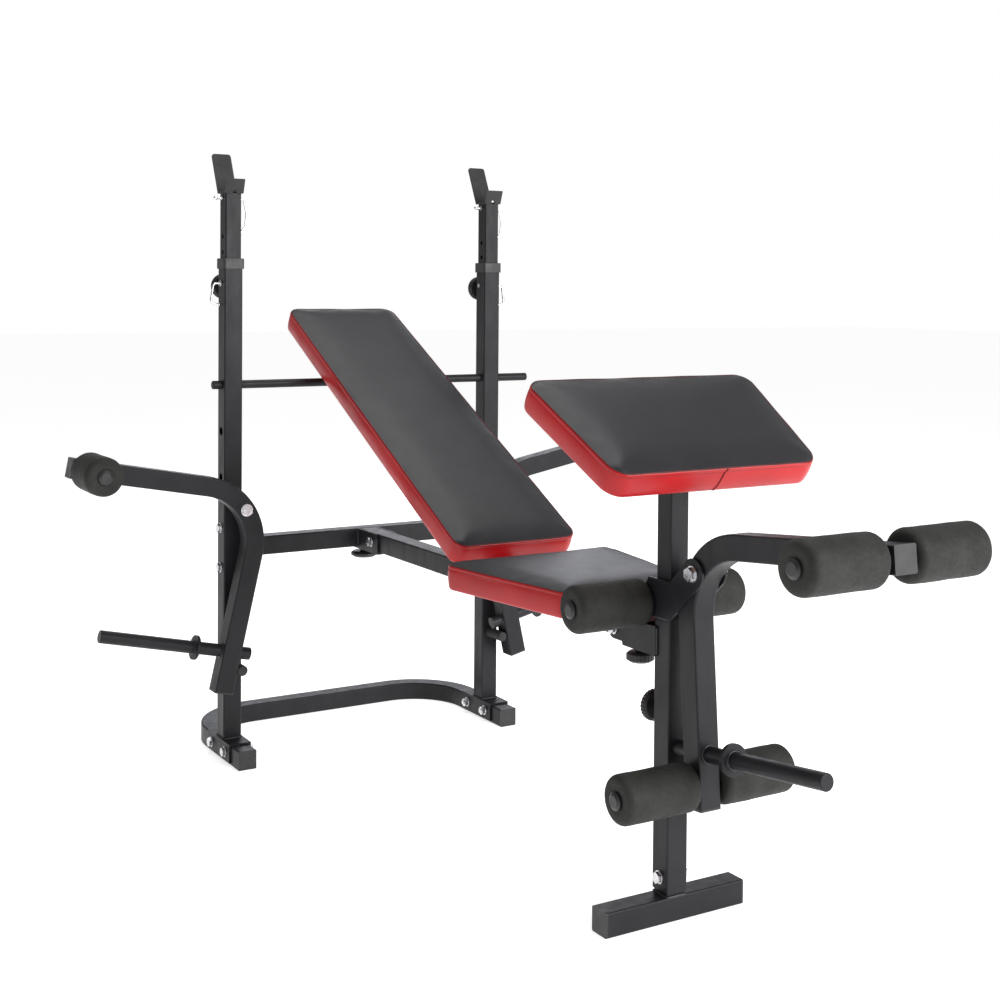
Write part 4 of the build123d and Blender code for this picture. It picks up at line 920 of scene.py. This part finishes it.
def area_light(name, location, target, size, power, colour=(1, 1, 1)):
    light = bpy.data.lights.new(name, "AREA")
    light.shape = "RECTANGLE"
    light.size, light.size_y = size
    light.energy = power
    light.color = colour
    obj = bpy.data.objects.new(name, light)
    obj.location = location
    obj.rotation_euler = (Vector(target) - Vector(location)).to_track_quat("-Z", "Y").to_euler()
    bpy.context.scene.collection.objects.link(obj)


def make_lights():
    world = bpy.data.worlds.new("studio")
    world.use_nodes = True
    tree = world.node_tree
    background = tree.nodes["Background"]
    background.inputs["Color"].default_value = (1.0, 1.0, 1.0, 1)
    seen = tree.nodes.new("ShaderNodeLightPath").outputs["Is Camera Ray"]
    link(tree, range_node(tree, seen, WORLD_LIGHT, 1.0, 0.0, 1.0), background.inputs["Strength"])
    bpy.context.scene.world = world
    bpy.context.scene.view_settings.view_transform = "Standard"
    area_light("key", (1.8, -3.9, 2.0), (0, 0, 0.6), (3.0, 2.6), 190)
    area_light("top", (0.2, 0.6, 3.8), (0, 0, 0.4), (2.4, 3.2), 65)
    area_light("rim", (2.2, 4.4, 1.9), (0, 0, 0.5), (3.0, 1.6), 34, (0.90, 0.92, 1.0))


def make_camera():
    yaw, pitch, roll = math.radians(30.894), math.radians(1.341), math.radians(0.415)
    forward = Vector((math.sin(yaw) * math.cos(pitch), math.cos(yaw) * math.cos(pitch), -math.sin(pitch)))
    level = Vector((math.cos(yaw), -math.sin(yaw), 0))
    above = level.cross(forward)
    right = level * math.cos(roll) + above * math.sin(roll)
    up = above * math.cos(roll) - level * math.sin(roll)
    camera = bpy.data.cameras.new("camera")
    camera.lens = 53.703
    camera.sensor_width = 36.0
    camera.shift_y = -0.1748
    camera.clip_end = 200
    obj = bpy.data.objects.new("camera", camera)
    place = Vector((-1.44862, LEG_Y - 1.88211, 0.99776))
    obj.matrix_world = Matrix((
        (right.x, up.x, -forward.x, place.x), (right.y, up.y, -forward.y, place.y),
        (right.z, up.z, -forward.z, place.z), (0, 0, 0, 1),
    ))
    bpy.context.scene.collection.objects.link(obj)
    bpy.context.scene.camera = obj


paint_cad_nodes()
make_pads()
make_rollers()
make_frame_welds()
make_leg_welds()
make_developer_welds()
make_arm_welds()
make_threads()
make_floor()
make_lights()
make_camera()
